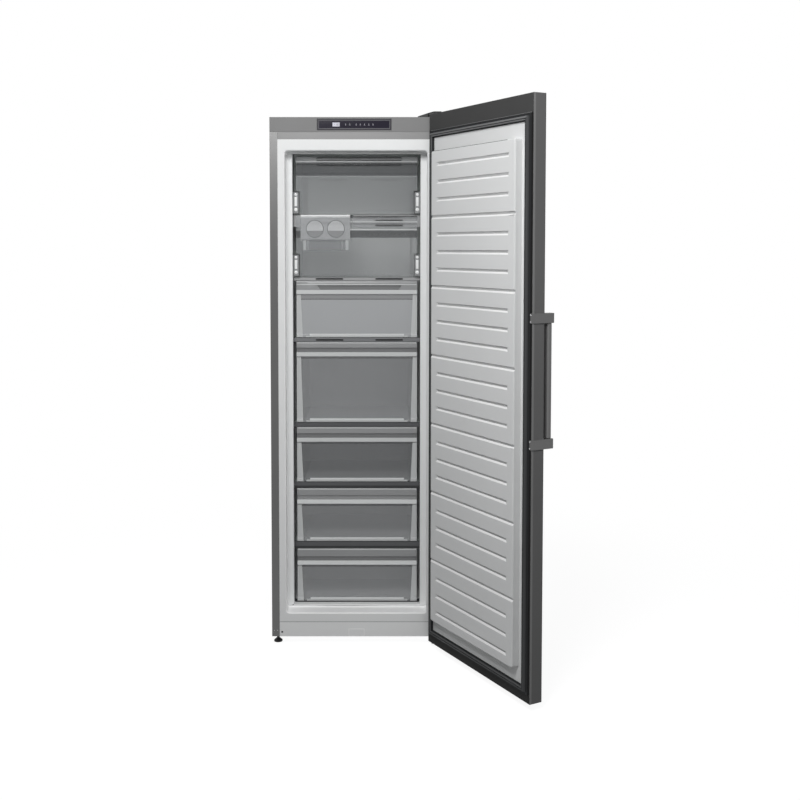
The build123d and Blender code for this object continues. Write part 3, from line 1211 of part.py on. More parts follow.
# ---------------------------------------------------------------- feet and rollers
def front_foot(x):
    """Levelling foot: disc, cone and stem that screws into the base pan's nut."""
    stem_top = PAN_TOP + FOOT_NUT_HEIGHT
    cone_top = FOOT_DISC + FOOT_CONE
    outline = [
        (0, 0),
        (FOOT_RADIUS, 0),
        (FOOT_RADIUS, FOOT_DISC),
        (FOOT_STEM + FOOT_COLLAR, cone_top),
        (FOOT_STEM, cone_top),
        (FOOT_STEM, stem_top),
        (0, stem_top),
    ]
    return Pos(x, FOOT_Y, 0) * revolve(Plane.XZ * Polygon(*outline, align=None), Axis.Z)


def roller_brackets():
    """Two forks under the rear of the base pan."""
    reach = AXLE_RADIUS + FORK_WALL
    y = (ROLLER_Y - reach, ROLLER_Y + reach)
    half = ROLLER_WIDTH / 2 + ROLLER_SIDE_GAP
    inner = ROLLER_X - half
    outer = ROLLER_X + half
    fork = block((inner - FORK_CHEEK, outer + FORK_CHEEK), y, (BASE - FORK_BRIDGE, BASE))
    for x in ((inner - FORK_CHEEK, inner), (outer, outer + FORK_CHEEK)):
        fork += block(x, y, (ROLLER_RADIUS - reach, BASE))
    bore_ends = (inner - FORK_CHEEK - 1, outer + FORK_CHEEK + 1)
    bore = [(x, ROLLER_Y, ROLLER_RADIUS) for x in bore_ends]
    fork -= rod(AXLE_RADIUS + AXLE_CLEARANCE, *bore)
    return group([fork, mirror(fork, Plane.YZ)])


def rear_rollers():
    """Two rollers fixed on one axle right across the cabinet."""
    end = ROLLER_X + ROLLER_WIDTH / 2 + ROLLER_SIDE_GAP + AXLE_END
    wheels = rod(AXLE_RADIUS, (-end, ROLLER_Y, ROLLER_RADIUS), (end, ROLLER_Y, ROLLER_RADIUS))
    for x in (-ROLLER_X, ROLLER_X):
        start = (x - ROLLER_WIDTH / 2, ROLLER_Y, ROLLER_RADIUS)
        wheels += rod(ROLLER_RADIUS, start, (x + ROLLER_WIDTH / 2, ROLLER_Y, ROLLER_RADIUS))
    return wheels


# ---------------------------------------------------------------- every node
def build():
    """Each node's name with its solids, in place."""
    core = panel_core()
    nodes = {
        "cabinet_wrap": cabinet_wrap(),
        "back_panel": back_panel(),
        "base_pan": base_pan(),
        "inner_liner": inner_liner(),
        "cabinet_insulation": cabinet_insulation(),
        "top_fascia": top_fascia(),
        "upper_crossrail": upper_crossrail(),
        "lower_crossrail": lower_crossrail(),
        "control_bezel": control_bezel(),
        "control_window": control_window(),
        "control_board": control_board(),
        "control_key_left": control_key(KEY_PLACES[0]),
        "control_key_right": control_key(KEY_PLACES[1]),
        "top_hinge_bracket": top_hinge_bracket(),
        "top_hinge_cover": top_hinge_cover(),
        "bottom_hinge_bracket": bottom_hinge_bracket(),
        "hinge_screws": hinge_screws(),
        "air_duct_cover": air_duct_cover(),
        "evaporator": evaporator(),
        "fan_motor": fan_motor(),
        "fan_rotor": fan_rotor(),
        "compressor": compressor(),
        "compressor_mounts": compressor_mounts(),
        "drip_tray": drip_tray(),
        "condenser": condenser(),
        "rear_cover": rear_cover(),
        "power_gland": power_gland(),
        "glass_shelves": glass_shelves(),
        "shelf_trims": shelf_trims(),
        "flap_brackets": flap_brackets(),
        "flap_lower": flap(LOWER_FLAP, LOWER_FLAP_HEIGHT),
        "flap_upper": flap(UPPER_FLAP, UPPER_FLAP_HEIGHT),
        "ice_maker_housing": ice_maker_housing(),
        "ice_bin": ice_bin(),
        "ice_tray_left": ice_tray(KNOB_PLACES[0]),
        "ice_tray_right": ice_tray(KNOB_PLACES[1]),
        "door_skin": swung(door_skin()),
        "door_liner": swung(door_liner(core)),
        "door_insulation": swung(door_insulation(core)),
        "door_gasket": swung(door_gasket()),
        "door_top_cap": swung(door_top_cap()),
        "door_bottom_cap": swung(door_bottom_cap()),
        "door_hinge_bushes": swung(door_hinge_bushes()),
        "handle_brackets": swung(handle_brackets()),
        "handle_bar": swung(handle_bar()),
        "handle_screws": swung(handle_screws()),
        "front_foot_left": front_foot(-FOOT_X),
        "front_foot_right": front_foot(FOOT_X),
        "roller_brackets": roller_brackets(),
        "rear_rollers": rear_rollers(),
    }
    for index in range(DRAWER_COUNT):
        number = DRAWER_COUNT - index
        nodes[f"drawer_{number}_front"] = drawer_front(index)
        nodes[f"drawer_{number}_bin"] = drawer_bin(index)
    return nodes


if __name__ == "__main__":
    os.makedirs("parts", exist_ok=True)
    for name, shape in build().items():
        export_step(shape, f"parts/{name}.step")
    print("door hinge at", HINGE_X, HINGE_Y)
    print("flap pivots at", PIVOT_Y, LOWER_FLAP + PIVOT_RISE, UPPER_FLAP + PIVOT_RISE)
    print("ice knobs at", KNOB_PLACES, KNOB_Z)
    print("fan axis at", FAN_Z)
    print("rollers at", ROLLER_Y, ROLLER_RADIUS)
    print("feet at", FOOT_X, FOOT_Y)
    print("glass tops", GLASS_TOPS, "drawer floors", FLOORS)
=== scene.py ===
import json
import math

import bmesh
import bpy
from mathutils import Matrix, Vector

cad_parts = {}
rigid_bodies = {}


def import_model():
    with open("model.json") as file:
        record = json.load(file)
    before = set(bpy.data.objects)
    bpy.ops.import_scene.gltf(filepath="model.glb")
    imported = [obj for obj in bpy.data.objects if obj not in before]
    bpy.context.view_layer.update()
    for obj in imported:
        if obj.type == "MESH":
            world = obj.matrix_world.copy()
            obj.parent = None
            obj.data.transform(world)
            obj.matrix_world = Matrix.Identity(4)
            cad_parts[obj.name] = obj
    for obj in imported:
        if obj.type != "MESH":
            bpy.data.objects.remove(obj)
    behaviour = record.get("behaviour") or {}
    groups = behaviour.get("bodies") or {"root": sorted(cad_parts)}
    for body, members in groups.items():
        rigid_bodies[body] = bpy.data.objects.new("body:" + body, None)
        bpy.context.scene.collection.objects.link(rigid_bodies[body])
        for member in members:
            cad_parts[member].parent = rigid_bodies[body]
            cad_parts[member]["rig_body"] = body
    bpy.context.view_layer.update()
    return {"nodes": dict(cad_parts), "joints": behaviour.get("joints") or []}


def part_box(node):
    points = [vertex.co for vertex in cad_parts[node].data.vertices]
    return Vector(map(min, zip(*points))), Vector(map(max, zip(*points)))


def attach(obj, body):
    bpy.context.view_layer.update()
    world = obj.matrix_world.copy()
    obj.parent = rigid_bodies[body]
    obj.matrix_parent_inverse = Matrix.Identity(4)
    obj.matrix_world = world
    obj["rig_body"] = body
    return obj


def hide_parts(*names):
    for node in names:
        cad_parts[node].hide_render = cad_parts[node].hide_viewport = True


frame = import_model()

scene = bpy.context.scene
scene.view_settings.view_transform = "Standard"

# ---------------------------------------------------------------- the view
# Product photograph taken 3.7 m in front of the cabinet, at about the height of the lower flap. The camera
# looks 3 degrees down, and its frame is slid down and a little to the right to hold the whole freezer.
view_lens = bpy.data.cameras.new("view")
view_lens.sensor_width = 36
view_lens.lens = 47.72
view_lens.shift_x = 0.0228
view_lens.shift_y = -0.12
view = bpy.data.objects.new("view", view_lens)
view.location = (0.0888, -3.966, 1.3982)
view.rotation_euler = (math.radians(87), 0, 0)
scene.collection.objects.link(view)
scene.camera = view

# ---------------------------------------------------------------- the studio
# White seamless floor under a large soft lamp, high in front. A weaker one at the front right and white cards
# all round fill the shadows. The floor keeps the freezer's shadow, and further off runs into the backdrop.


def background_rays(nodes, links):
    """1 for what the lens, a gloss or clear plastic sees of the backdrop, and 0 for the light it gives."""
    rays = nodes.new("ShaderNodeLightPath")
    seen = rays.outputs["Is Camera Ray"]
    for kind in ("Is Glossy Ray", "Is Transmission Ray"):
        either = nodes.new("ShaderNodeMath")
        either.operation = "MAXIMUM"
        links.new(seen, either.inputs[0])
        links.new(rays.outputs[kind], either.inputs[1])
        seen = either.outputs[0]
    return seen


def mixed(nodes, links, share, first, second):
    """Two shaders in one, of which the second gets the share."""
    mix = nodes.new("ShaderNodeMixShader")
    links.new(share, mix.inputs["Fac"])
    links.new(first.outputs[0], mix.inputs[1])
    links.new(second.outputs[0], mix.inputs[2])
    return mix


backdrop = bpy.data.worlds.new("backdrop")
backdrop.use_nodes = True
scene.world = backdrop
sky_nodes, sky_links = backdrop.node_tree.nodes, backdrop.node_tree.links
card_light = sky_nodes["Background"]
card_light.inputs["Color"].default_value = (0.97, 0.985, 1.0, 1)
card_light.inputs["Strength"].default_value = 0.15
white_paper = sky_nodes.new("ShaderNodeBackground")
white_paper.inputs["Color"].default_value = (1, 1, 1, 1)
white_paper.inputs["Strength"].default_value = 1.0
sky = mixed(sky_nodes, sky_links, background_rays(sky_nodes, sky_links), card_light, white_paper)
sky_links.new(sky.outputs[0], sky_nodes["World Output"].inputs["Surface"])

floor_shape = bmesh.new()
bmesh.ops.create_grid(floor_shape, x_segments=2, y_segments=2, size=14)
floor_mesh = bpy.data.meshes.new("studio_floor")
floor_shape.to_mesh(floor_mesh)
floor_shape.free()
studio_floor = bpy.data.objects.new("studio_floor", floor_mesh)
scene.collection.objects.link(studio_floor)

paper = bpy.data.materials.new("floor_paper")
paper.use_nodes = True
paper_nodes, paper_links = paper.node_tree.nodes, paper.node_tree.links
matt = paper_nodes["Principled BSDF"]
matt.inputs["Base Color"].default_value = (0.22, 0.22, 0.22, 1)
matt.inputs["Roughness"].default_value = 0.9
lift = paper_nodes.new("ShaderNodeEmission")
lift.inputs["Strength"].default_value = 0.9
lifted = paper_nodes.new("ShaderNodeAddShader")
paper_links.new(matt.outputs[0], lifted.inputs[0])
paper_links.new(lift.outputs[0], lifted.inputs[1])
pure_white = paper_nodes.new("ShaderNodeEmission")
pure_white.inputs["Strength"].default_value = 1.0
floor_place = paper_nodes.new("ShaderNodeTexCoord")
from_freezer = paper_nodes.new("ShaderNodeVectorMath")
from_freezer.operation = "LENGTH"
paper_links.new(floor_place.outputs["Object"], from_freezer.inputs[0])
fade = paper_nodes.new("ShaderNodeMapRange")
fade.interpolation_type = "SMOOTHSTEP"
fade.inputs["From Min"].default_value = 0.9
fade.inputs["From Max"].default_value = 2.2
paper_links.new(from_freezer.outputs["Value"], fade.inputs["Value"])
near_or_far = mixed(paper_nodes, paper_links, fade.outputs["Result"], lifted, pure_white)
seen_or_lit = mixed(paper_nodes, paper_links, background_rays(paper_nodes, paper_links), matt, near_or_far)
paper_links.new(seen_or_lit.outputs[0], paper_nodes["Material Output"].inputs["Surface"])
floor_mesh.materials.append(paper)


def lamp(name, place, aim, size, power):
    """A round soft box, aimed at a point."""
    light = bpy.data.lights.new(name, "AREA")
    light.shape = "DISK"
    light.size = size
    light.energy = power
    box = bpy.data.objects.new(name, light)
    box.location = place
    box.rotation_euler = (Vector(aim) - box.location).to_track_quat("-Z", "Y").to_euler()
    scene.collection.objects.link(box)
    return box


lamp("soft_key", (-0.3, -2.5, 2.62), (0.05, -0.2, 1.3), 1.0, 44)
lamp("front_fill", (0.8, -3.0, 1.6), (0.05, -0.2, 1.1), 1.4, 10).visible_glossy = False

# ---------------------------------------------------------------- outer case
# Grey coated steel sheet bent round both sides and the top in one piece, its front edge turned in beside the
# flange. The coating is a satin lacquer with fine upright brushing. Back and base pan are zinc coated sheet.


def tone(red, green=None, blue=None):
    """A colour as a paint chart gives it, 0 to 255, as the shader takes it."""
    steps = (red, red if green is None else green, red if blue is None else blue)
    return [v / (255 * 12.92) if v <= 10.3 else ((v / 255 + 0.055) / 1.055) ** 2.4 for v in steps]


def finish(name, colour, roughness, metallic=0.0, coat=0.0, alpha=1.0, shine=0.5):
    """New finish: a Principled shader with its even values set on its own sockets."""
    material = bpy.data.materials.new(name)
    material.use_nodes = True
    shader = material.node_tree.nodes["Principled BSDF"]
    shader.inputs["Base Color"].default_value = (*colour, 1)
    shader.inputs["Roughness"].default_value = roughness
    shader.inputs["Metallic"].default_value = metallic
    shader.inputs["Coat Weight"].default_value = coat
    shader.inputs["Coat Roughness"].default_value = 0.12
    shader.inputs["Alpha"].default_value = alpha
    shader.inputs["Specular IOR Level"].default_value = shine
    return material


def speckle(material, scale, stretch=(1, 1, 1), detail=3.0):
    """Noise on the piece's own coordinates, finer with scale and drawn out along an axis by stretch."""
    nodes, links = material.node_tree.nodes, material.node_tree.links
    place = nodes.new("ShaderNodeTexCoord")
    turn = nodes.new("ShaderNodeMapping")
    turn.inputs["Scale"].default_value = stretch
    noise = nodes.new("ShaderNodeTexNoise")
    noise.inputs["Scale"].default_value = scale
    noise.inputs["Detail"].default_value = detail
    links.new(place.outputs["Object"], turn.inputs["Vector"])
    links.new(turn.outputs["Vector"], noise.inputs["Vector"])
    return noise.outputs["Fac"]


def two_tone(material, pattern, colour, darker, lighter):
    """The finish's colour runs with the pattern from one multiple of itself to another."""
    ramp = material.node_tree.nodes.new("ShaderNodeValToRGB")
    for stop, position, share in zip(ramp.color_ramp.elements, (0.3, 0.7), (darker, lighter)):
        stop.position = position
        stop.color = (*[c * share for c in colour], 1)
    material.node_tree.links.new(pattern, ramp.inputs["Fac"])
    shader = material.node_tree.nodes["Principled BSDF"]
    material.node_tree.links.new(ramp.outputs["Color"], shader.inputs["Base Color"])


def uneven(material, pattern, smooth, rough):
    """The finish's gloss wanders between two roughnesses with the pattern."""
    span = material.node_tree.nodes.new("ShaderNodeMapRange")
    for socket, value in (("From Min", 0.3), ("From Max", 0.7), ("To Min", smooth), ("To Max", rough)):
        span.inputs[socket].default_value = value
    material.node_tree.links.new(pattern, span.inputs["Value"])
    shader = material.node_tree.nodes["Principled BSDF"]
    material.node_tree.links.new(span.outputs["Result"], shader.inputs["Roughness"])


def grain(material, pattern, height, strength):
    """The pattern stands up as a fine relief, height in metres."""
    relief = material.node_tree.nodes.new("ShaderNodeBump")
    relief.inputs["Strength"].default_value = strength
    relief.inputs["Distance"].default_value = height
    material.node_tree.links.new(pattern, relief.inputs["Height"])
    shader = material.node_tree.nodes["Principled BSDF"]
    material.node_tree.links.new(relief.outputs["Normal"], shader.inputs["Normal"])


def brushed_steel(name, shade, roughness, metallic, brushing=(140, 140, 1.2), shine=0.25):
    """Coated steel: cloudy colour, fine brushing and a satin gloss that wanders."""
    colour = tone(shade)
    steel = finish(name, colour, roughness, metallic, shine=shine)
    two_tone(steel, speckle(steel, 2.2), colour, 0.95, 1.05)
    strokes = speckle(steel, 6, brushing, 4)
    uneven(steel, strokes, roughness - 0.05, roughness + 0.06)
    grain(steel, strokes, 0.00003, 0.25)
    return steel


def moulded(name, colour, roughness, coat=0.0, alpha=1.0, shine=0.5, spread=0.03, pitch=420, height=0.00004):
    """Moulded plastic: nearly even colour, slow changes of gloss and a very fine orange peel."""
    plastic = finish(name, colour, roughness, 0.0, coat, alpha, shine)
    two_tone(plastic, speckle(plastic, 3), colour, 1 - spread, 1 + spread)
    uneven(plastic, speckle(plastic, 9), roughness - 0.05, roughness + 0.05)
    grain(plastic, speckle(plastic, pitch, detail=2), height, 0.3)
    return plastic


def soften(shape, edges, radius, segments=2, limited=True):
    """Rounds some edges of a shape."""
    bmesh.ops.bevel(shape, geom=[e for e in edges if e.is_manifold], offset=radius, offset_type="OFFSET",
                    segments=segments, profile=0.5, material=-1, affect="EDGES", clamp_overlap=limited)


def parted(shape, point, across):
    """Cuts the faces of a shape along a plane and keeps both sides."""
    parts = shape.verts[:] + shape.edges[:] + shape.faces[:]
    bmesh.ops.bisect_plane(shape, geom=parts, dist=0.000001, plane_co=point, plane_no=across)


def placed(name, shape, material, body, stands_for=None, more=(), smooth=40):
    """Turns a finished shape into a piece that rides on its body."""
    mesh = bpy.data.meshes.new(name)
    shape.to_mesh(mesh)
    shape.free()
    for polygon in mesh.polygons:
        polygon.use_smooth = True
    mesh.set_sharp_from_angle(angle=math.radians(smooth))
    for layer in (material, *more):
        mesh.materials.append(layer)
    piece = bpy.data.objects.new(name, mesh)
    scene.collection.objects.link(piece)
    even = piece.modifiers.new("even_shading", "WEIGHTED_NORMAL")
    even.keep_sharp = True
    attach(piece, body)
    if stands_for:
        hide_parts(stands_for)
    return piece


def eased(node, material, radius, segments=2, zones=(), cuts=(), shaping=None, turned=None):
    """A copy of a CAD node with its sharp corners rounded as a mould or press leaves them. shaping may move
    its points first, cuts are planes that part its faces, and zones gives other materials to faces that pass
    a test of middle and direction, the last passed. All three work as if the turn of turned were undone."""
    weld, flat, sharp = 0.000004, math.radians(0.5), math.radians(35)
    shape = bmesh.new()
    shape.from_mesh(frame["nodes"][node].data)
    bmesh.ops.remove_doubles(shape, verts=shape.verts[:], dist=weld)
    if turned:
        bmesh.ops.transform(shape, matrix=turned.inverted(), verts=shape.verts[:])
        shape.normal_update()
    bmesh.ops.dissolve_limit(shape, angle_limit=flat, verts=shape.verts[:], edges=shape.edges[:])
    if shaping:
        shaping(shape)
        shape.normal_update()
    soften(shape, [e for e in shape.edges if e.calc_face_angle(0) > sharp], radius, segments)
    bmesh.ops.dissolve_degenerate(shape, dist=0.000001, edges=shape.edges[:])
    for point, across in cuts:
        parted(shape, point, across)
    bmesh.ops.triangulate(shape, faces=[f for f in shape.faces if len(f.verts) > 4])
    shape.normal_update()
    for face in shape.faces:
        middle = face.calc_center_median()
        for number, (_, test) in enumerate(zones, 1):
            if test(middle, face.normal):
                face.material_index = number
    if turned:
        bmesh.ops.transform(shape, matrix=turned, verts=shape.verts[:])
    placed(node + "_made", shape, material, frame["nodes"][node]["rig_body"],
           stands_for=node, more=[other for other, _ in zones])


def kept(node, material):
    """A CAD node whose shape is right keeps its mesh and gets its finish."""
    mesh = frame["nodes"][node].data
    mesh.materials.clear()
    mesh.materials.append(material)


case_lacquer = brushed_steel("case_lacquer", 96, 0.36, 0.9)
eased("cabinet_wrap", case_lacquer, 0.0004)

zinc_colour = tone(176, 178, 180)
zinc = finish("zinc_sheet", zinc_colour, 0.42, 0.85)
zinc_nodes, zinc_links = zinc.node_tree.nodes, zinc.node_tree.links
spangle = zinc_nodes.new("ShaderNodeTexVoronoi")
spangle.inputs["Scale"].default_value = 95
zinc_place = zinc_nodes.new("ShaderNodeTexCoord")
zinc_links.new(zinc_place.outputs["Object"], spangle.inputs["Vector"])
two_tone(zinc, spangle.outputs["Color"], zinc_colour, 0.86, 1.1)
uneven(zinc, spangle.outputs["Color"], 0.34, 0.5)
grain(zinc, speckle(zinc, 260), 0.00004, 0.3)
for sheet_node, sheet_radius in (("back_panel", 0.0003), ("base_pan", 0.0004), ("rear_cover", 0.0003)):
    eased(sheet_node, zinc, sheet_radius)

# ---------------------------------------------------------------- insulating foam
# Cream polyurethane foam blown into the walls and the door, where it swells against sheet and lining.
# Closed cells about half a millimetre wide, with a few larger voids.
foam_colour = tone(226, 211, 168)
foam = finish("blown_foam", foam_colour, 0.9)
two_tone(foam, speckle(foam, 60), foam_colour, 0.86, 1.06)
grain(foam, speckle(foam, 1500, detail=1), 0.0002, 0.6)
kept("cabinet_insulation", foam)
kept("door_insulation", foam)

# ---------------------------------------------------------------- food space
# White polystyrene sheet drawn by vacuum over a mould: front flange, stepped recess and food space in one
# piece. Its inner corners are rounded by the mould. The wall just inside the food space's mouth lies in deep
# shade, which is painted on as a dark grey; the recess's left wall and its low ledge are painted whiter as
# painted light.
liner_white = moulded("formed_white", tone(233, 234, 234), 0.42, shine=0.25, spread=0.012, pitch=300,
                      height=0.00002)
# Painted shade: the wall just inside the food space's mouth gets a dark grey in place of the lining's white.
mouth_painted_shade = moulded("mouth_painted_shade", tone(74, 75, 76), 0.6, shine=0.1)
# Painted light: the recess's left wall and the upward faces low in the recess get a whiter copy of the
# lining.
painted_wall_light = moulded("recess_wall_painted_light", tone(254, 254, 254), 0.42, shine=0.25)
space_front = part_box("inner_liner")[0].y
recess_floor, recess_half, recess_middle, recess_extra = -0.237, 0.2500, 0.9255, 0.558
mouth_front, mouth_back = recess_floor + 0.0300, -0.172
mouth_half, mouth_low, mouth_high = 0.2262, 0.119, 1.7325


def at_heights(*heights):
    """Level cuts at some heights."""
    return [((0, 0, z), (0, 0, 1)) for z in heights]


def at_sides(*places):
    """Upright cuts from front to back at some places across."""
    return [((x, 0, 0), (1, 0, 0)) for x in places]


def at_depths(*depths):
    """Upright cuts from side to side at some depths."""
    return [((0, y, 0), (0, 1, 0)) for y in depths]


def quartered(shape):
    """Parts every face through the middle of the piece, so that no face runs all round an opening."""
    points = [v.co for v in shape.verts]
    middle = (Vector(map(min, zip(*points))) + Vector(map(max, zip(*points)))) / 2
    for across in ((1, 0, 0), (0, 1, 0), (0, 0, 1)):
        parted(shape, middle, across)
    shape.normal_update()


def formed_rims(shape):
    """The mould's large radii, at the recess's rim and foot. The recess reaches recess_extra further up and
    down from its middle than to either side."""
    inward_lean, rim_radius, steep = 0.984, 0.006, math.radians(60)

    def lies(edge, depth, least):
        return all(abs(v.co.y - depth) < 0.0002
                   and least < max(abs(v.co.x), abs(v.co.z - recess_middle) - recess_extra) < recess_half
                   for v in edge.verts)

    for vert in shape.verts:
        if abs(vert.co.y - space_front) < 0.0002 and abs(vert.co.x) < recess_half - 0.0005:
            vert.co.x *= inward_lean
    quartered(shape)
    steps = [e for e in shape.edges if e.calc_face_angle(0) > steep]
    rims = [e for e in steps if lies(e, space_front, 0.23)]
    rims += [e for e in steps if lies(e, recess_floor, 0.238)]
    soften(shape, rims, rim_radius, 4, limited=False)


# Zones: the mouth's wall in painted shade, the recess's left wall and low ledge in painted light.
eased("inner_liner", liner_white, 0.0022, 3, shaping=formed_rims,
      cuts=at_depths(mouth_front, mouth_back), zones=[
          (mouth_painted_shade, lambda p, n: mouth_front < p.y < mouth_back and abs(p.x) < mouth_half
           and mouth_low < p.z < mouth_high),
          (painted_wall_light, lambda p, n: p.y < recess_floor + 0.004 and (
              n.x > 0.3 and abs(p.x + recess_half) < 0.008 or n.z > 0.3 and p.z < 0.13))])

# ---------------------------------------------------------------- head and plinth
# Grey plastic fascia over the door opening, the light steel strip under it that the seal's magnet meets, and
# the white enamelled plinth with its tab and the hole of the spare hinge, whose dark inside is painted shade:
# a black disc.
fascia_grey = moulded("fascia_grey", tone(132), 0.5, shine=0.15, spread=0.02)
eased("top_fascia", fascia_grey, 0.0012, 3)
landing_steel = brushed_steel("landing_steel", 140, 0.4, 0.1, (1.2, 140, 140), shine=0.15)
eased("upper_crossrail", landing_steel, 0.0006)
plinth_enamel = moulded("plinth_enamel", tone(234, 235, 235), 0.34, spread=0.012, pitch=180)
eased("lower_crossrail", plinth_enamel, 0.0005)


def disc(shape, centre, radius, depth, sides):
    """Adds a round plate that faces forward."""
    bmesh.ops.create_cone(shape, cap_ends=True, segments=sides, radius1=radius, radius2=radius, depth=depth,
                          matrix=Matrix.Translation(centre) @ Matrix.Rotation(math.radians(90), 4, "X"))


def thickened(shape, faces, step):
    """Gives flat faces a thickness, step metres along y."""
    pushed = bmesh.ops.extrude_face_region(shape, geom=faces, use_keep_orig=True)["geom"]
    moved = [v for v in pushed if isinstance(v, bmesh.types.BMVert)]
    bmesh.ops.translate(shape, vec=(0, step, 0), verts=moved)
    bmesh.ops.recalc_face_normals(shape, faces=shape.faces[:])


def outline(low, high, width, front, back):
    """A flat frame round a rectangle of x and z, facing forward, between two depths."""
    shape = bmesh.new()
    corners = ((low[0], low[1]), (high[0], low[1]), (high[0], high[1]), (low[0], high[1]))
    sheet = shape.faces.new([shape.verts.new((x, front, z)) for x, z in corners])
    sheet.normal_update()
    ring = bmesh.ops.inset_region(shape, faces=[sheet], thickness=width, use_boundary=True,
                                  use_even_offset=True)
    bmesh.ops.delete(shape, geom=[sheet], context="FACES")
    thickened(shape, ring["faces"], back - front)
    return shape


plinth_low, plinth_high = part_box("lower_crossrail")
# Painted highlight: a pale frame round the plinth's tab, for the light its edge catches.
tab_rim_painted_highlight = moulded("tab_rim_painted_highlight", tone(250), 0.5, shine=0.3)
tab_half, tab_low, tab_high = 0.0278, 0.0352, 0.0608
tab_seam = outline((-tab_half, tab_low), (tab_half, tab_high), 0.0018, plinth_low.y + 0.0004,
                   plinth_low.y + 0.0009)
placed("tab_seam", tab_seam, tab_rim_painted_highlight, "cabinet")
seam_shadow = moulded("seam_shadow", tone(120, 121, 122), 0.6, shine=0.2)
plinth_seam = outline((plinth_low.x + 0.001, plinth_high.z - 0.0006),
                      (plinth_high.x - 0.001, plinth_high.z + 0.0010), 0.0007, space_front - 0.0001,
                      space_front + 0.0005)
placed("plinth_seam", plinth_seam, seam_shadow, "cabinet")
# Painted shade: a black disc in the spare hinge's hole for the dark inside it.
hole_painted_shade = moulded("hole_painted_shade", tone(26), 0.6, shine=0.2)
hole_x, hole_z, plug_radius = -0.262, 0.049, 0.0042
hole_shade_disc = bmesh.new()
disc(hole_shade_disc, (hole_x, plinth_low.y + 0.0018, hole_z), plug_radius, 0.0016, sides=28)
placed("hinge_hole_shade_disc", hole_shade_disc, hole_painted_shade, "cabinet")

# ---------------------------------------------------------------- controls
# Dark smoked pane in a grey frame, lit from behind at the display. Two of its signs are push keys, which
# share the pane's finish; the other signs are printed. Behind it lies the circuit board.
bezel_grey = moulded("bezel_grey", tone(44, 43, 49), 0.4, shine=0.2)
bezel_light = moulded("bezel_light", tone(92, 91, 96), 0.4, shine=0.2)
bezel_low, bezel_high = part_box("control_bezel")
bezel_rim = Vector((0.0050, 0, 0.0050))
inset_low, inset_high = bezel_low + bezel_rim, bezel_high - bezel_rim
eased("control_bezel", bezel_grey, 0.0006,
      cuts=at_sides(inset_low.x, inset_high.x) + at_heights(inset_low.z, inset_high.z),
      zones=[(bezel_light, lambda p, n: n.y < -0.9 and inset_low.x < p.x < inset_high.x
              and inset_low.z < p.z < inset_high.z)])
smoked_pane = moulded("smoked_pane", tone(40, 37, 49), 0.16, shine=0.08, spread=0.02, height=0.00001)
eased("control_window", smoked_pane, 0.0002)
eased("control_key_left", smoked_pane, 0.0003)
eased("control_key_right", smoked_pane, 0.0003)

solder_mask = tone(38, 84, 52)
board_green = finish("board_green", solder_mask, 0.4, coat=0.3)
tracks = speckle(board_green, 300, (1, 1, 0.15))
two_tone(board_green, tracks, solder_mask, 0.7, 1.4)
grain(board_green, tracks, 0.00008, 0.5)
kept("control_board", board_green)


def block(shape, low, high):
    """Adds a block between two corners, in metres."""
    low, high = Vector(low), Vector(high)
    size = Matrix.Diagonal((*(high - low), 1))
    bmesh.ops.create_cube(shape, size=1, matrix=Matrix.Translation((low + high) / 2) @ size)


window_low, window_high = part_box("control_window")
pane_face = window_low.y
sign_height = (window_low.z + window_high.z) / 2
lit_pane = finish("lit_pane", tone(176, 176, 186), 0.3, shine=0.2)
lit_shader = lit_pane.node_tree.nodes["Principled BSDF"]
lit_shader.inputs["Emission Color"].default_value = (*tone(210, 208, 220), 1)
lit_shader.inputs["Emission Strength"].default_value = 0.27
uneven(lit_pane, speckle(lit_pane, 60), 0.15, 0.3)
display = bmesh.new()
block(display, (-0.0805, pane_face - 0.0003, sign_height - 0.0068),
      (-0.0560, pane_face, sign_height + 0.0068))
placed("display_light", display, lit_pane, "cabinet")

# Each stroke of a digit: its place across and up in half digits, and whether it lies flat.
stroke_places = {"a": (0, 1, True), "b": (1, 0.5, False), "c": (1, -0.5, False), "d": (0, -1, True),
                 "e": (-1, -0.5, False), "f": (-1, 0.5, False), "g": (0, 0, True)}
half_digit = (0.0018, 0.0036)
digits = bmesh.new()
for middle_x, strokes in ((-0.0745, "g"), (-0.0685, "bc"), (-0.0620, "abcdefg")):
    for stroke in strokes:
        across, up, lying = stroke_places[stroke]
        x, z = middle_x + across * half_digit[0], sign_height + up * half_digit[1]
        half_x, half_z = (0.0014, 0.0004) if lying else (0.0004, 0.0015)
        block(digits, (x - half_x, pane_face - 0.0005, z - half_z),
              (x + half_x, pane_face - 0.0003, z + half_z))
digit_ink = moulded("digit_ink", tone(46, 44, 54), 0.4)
placed("display_digits", digits, digit_ink, "cabinet")

sign_ink = moulded("sign_ink", tone(176, 174, 184), 0.4)


def sign(name, x, body, face):
    """One printed dot over a short dash."""
    mark = bmesh.new()
    disc(mark, (x, face - 0.0001, sign_height + 0.0012), 0.0014, 0.0002, sides=20)
    block(mark, (x - 0.0019, face - 0.0002, sign_height - 0.0032), (x + 0.0019, face, sign_height - 0.0024))
    placed(name, mark, sign_ink, body)


for number, x in enumerate((0.0010, 0.0150, 0.0295, 0.0446, 0.0586), 1):
    sign(f"sign_{number}", x, "cabinet", pane_face)
key_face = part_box("control_key_left")[0].y
sign("sign_left_key", -0.0355, "left_key", key_face)
sign("sign_right_key", -0.0210, "right_key", key_face)

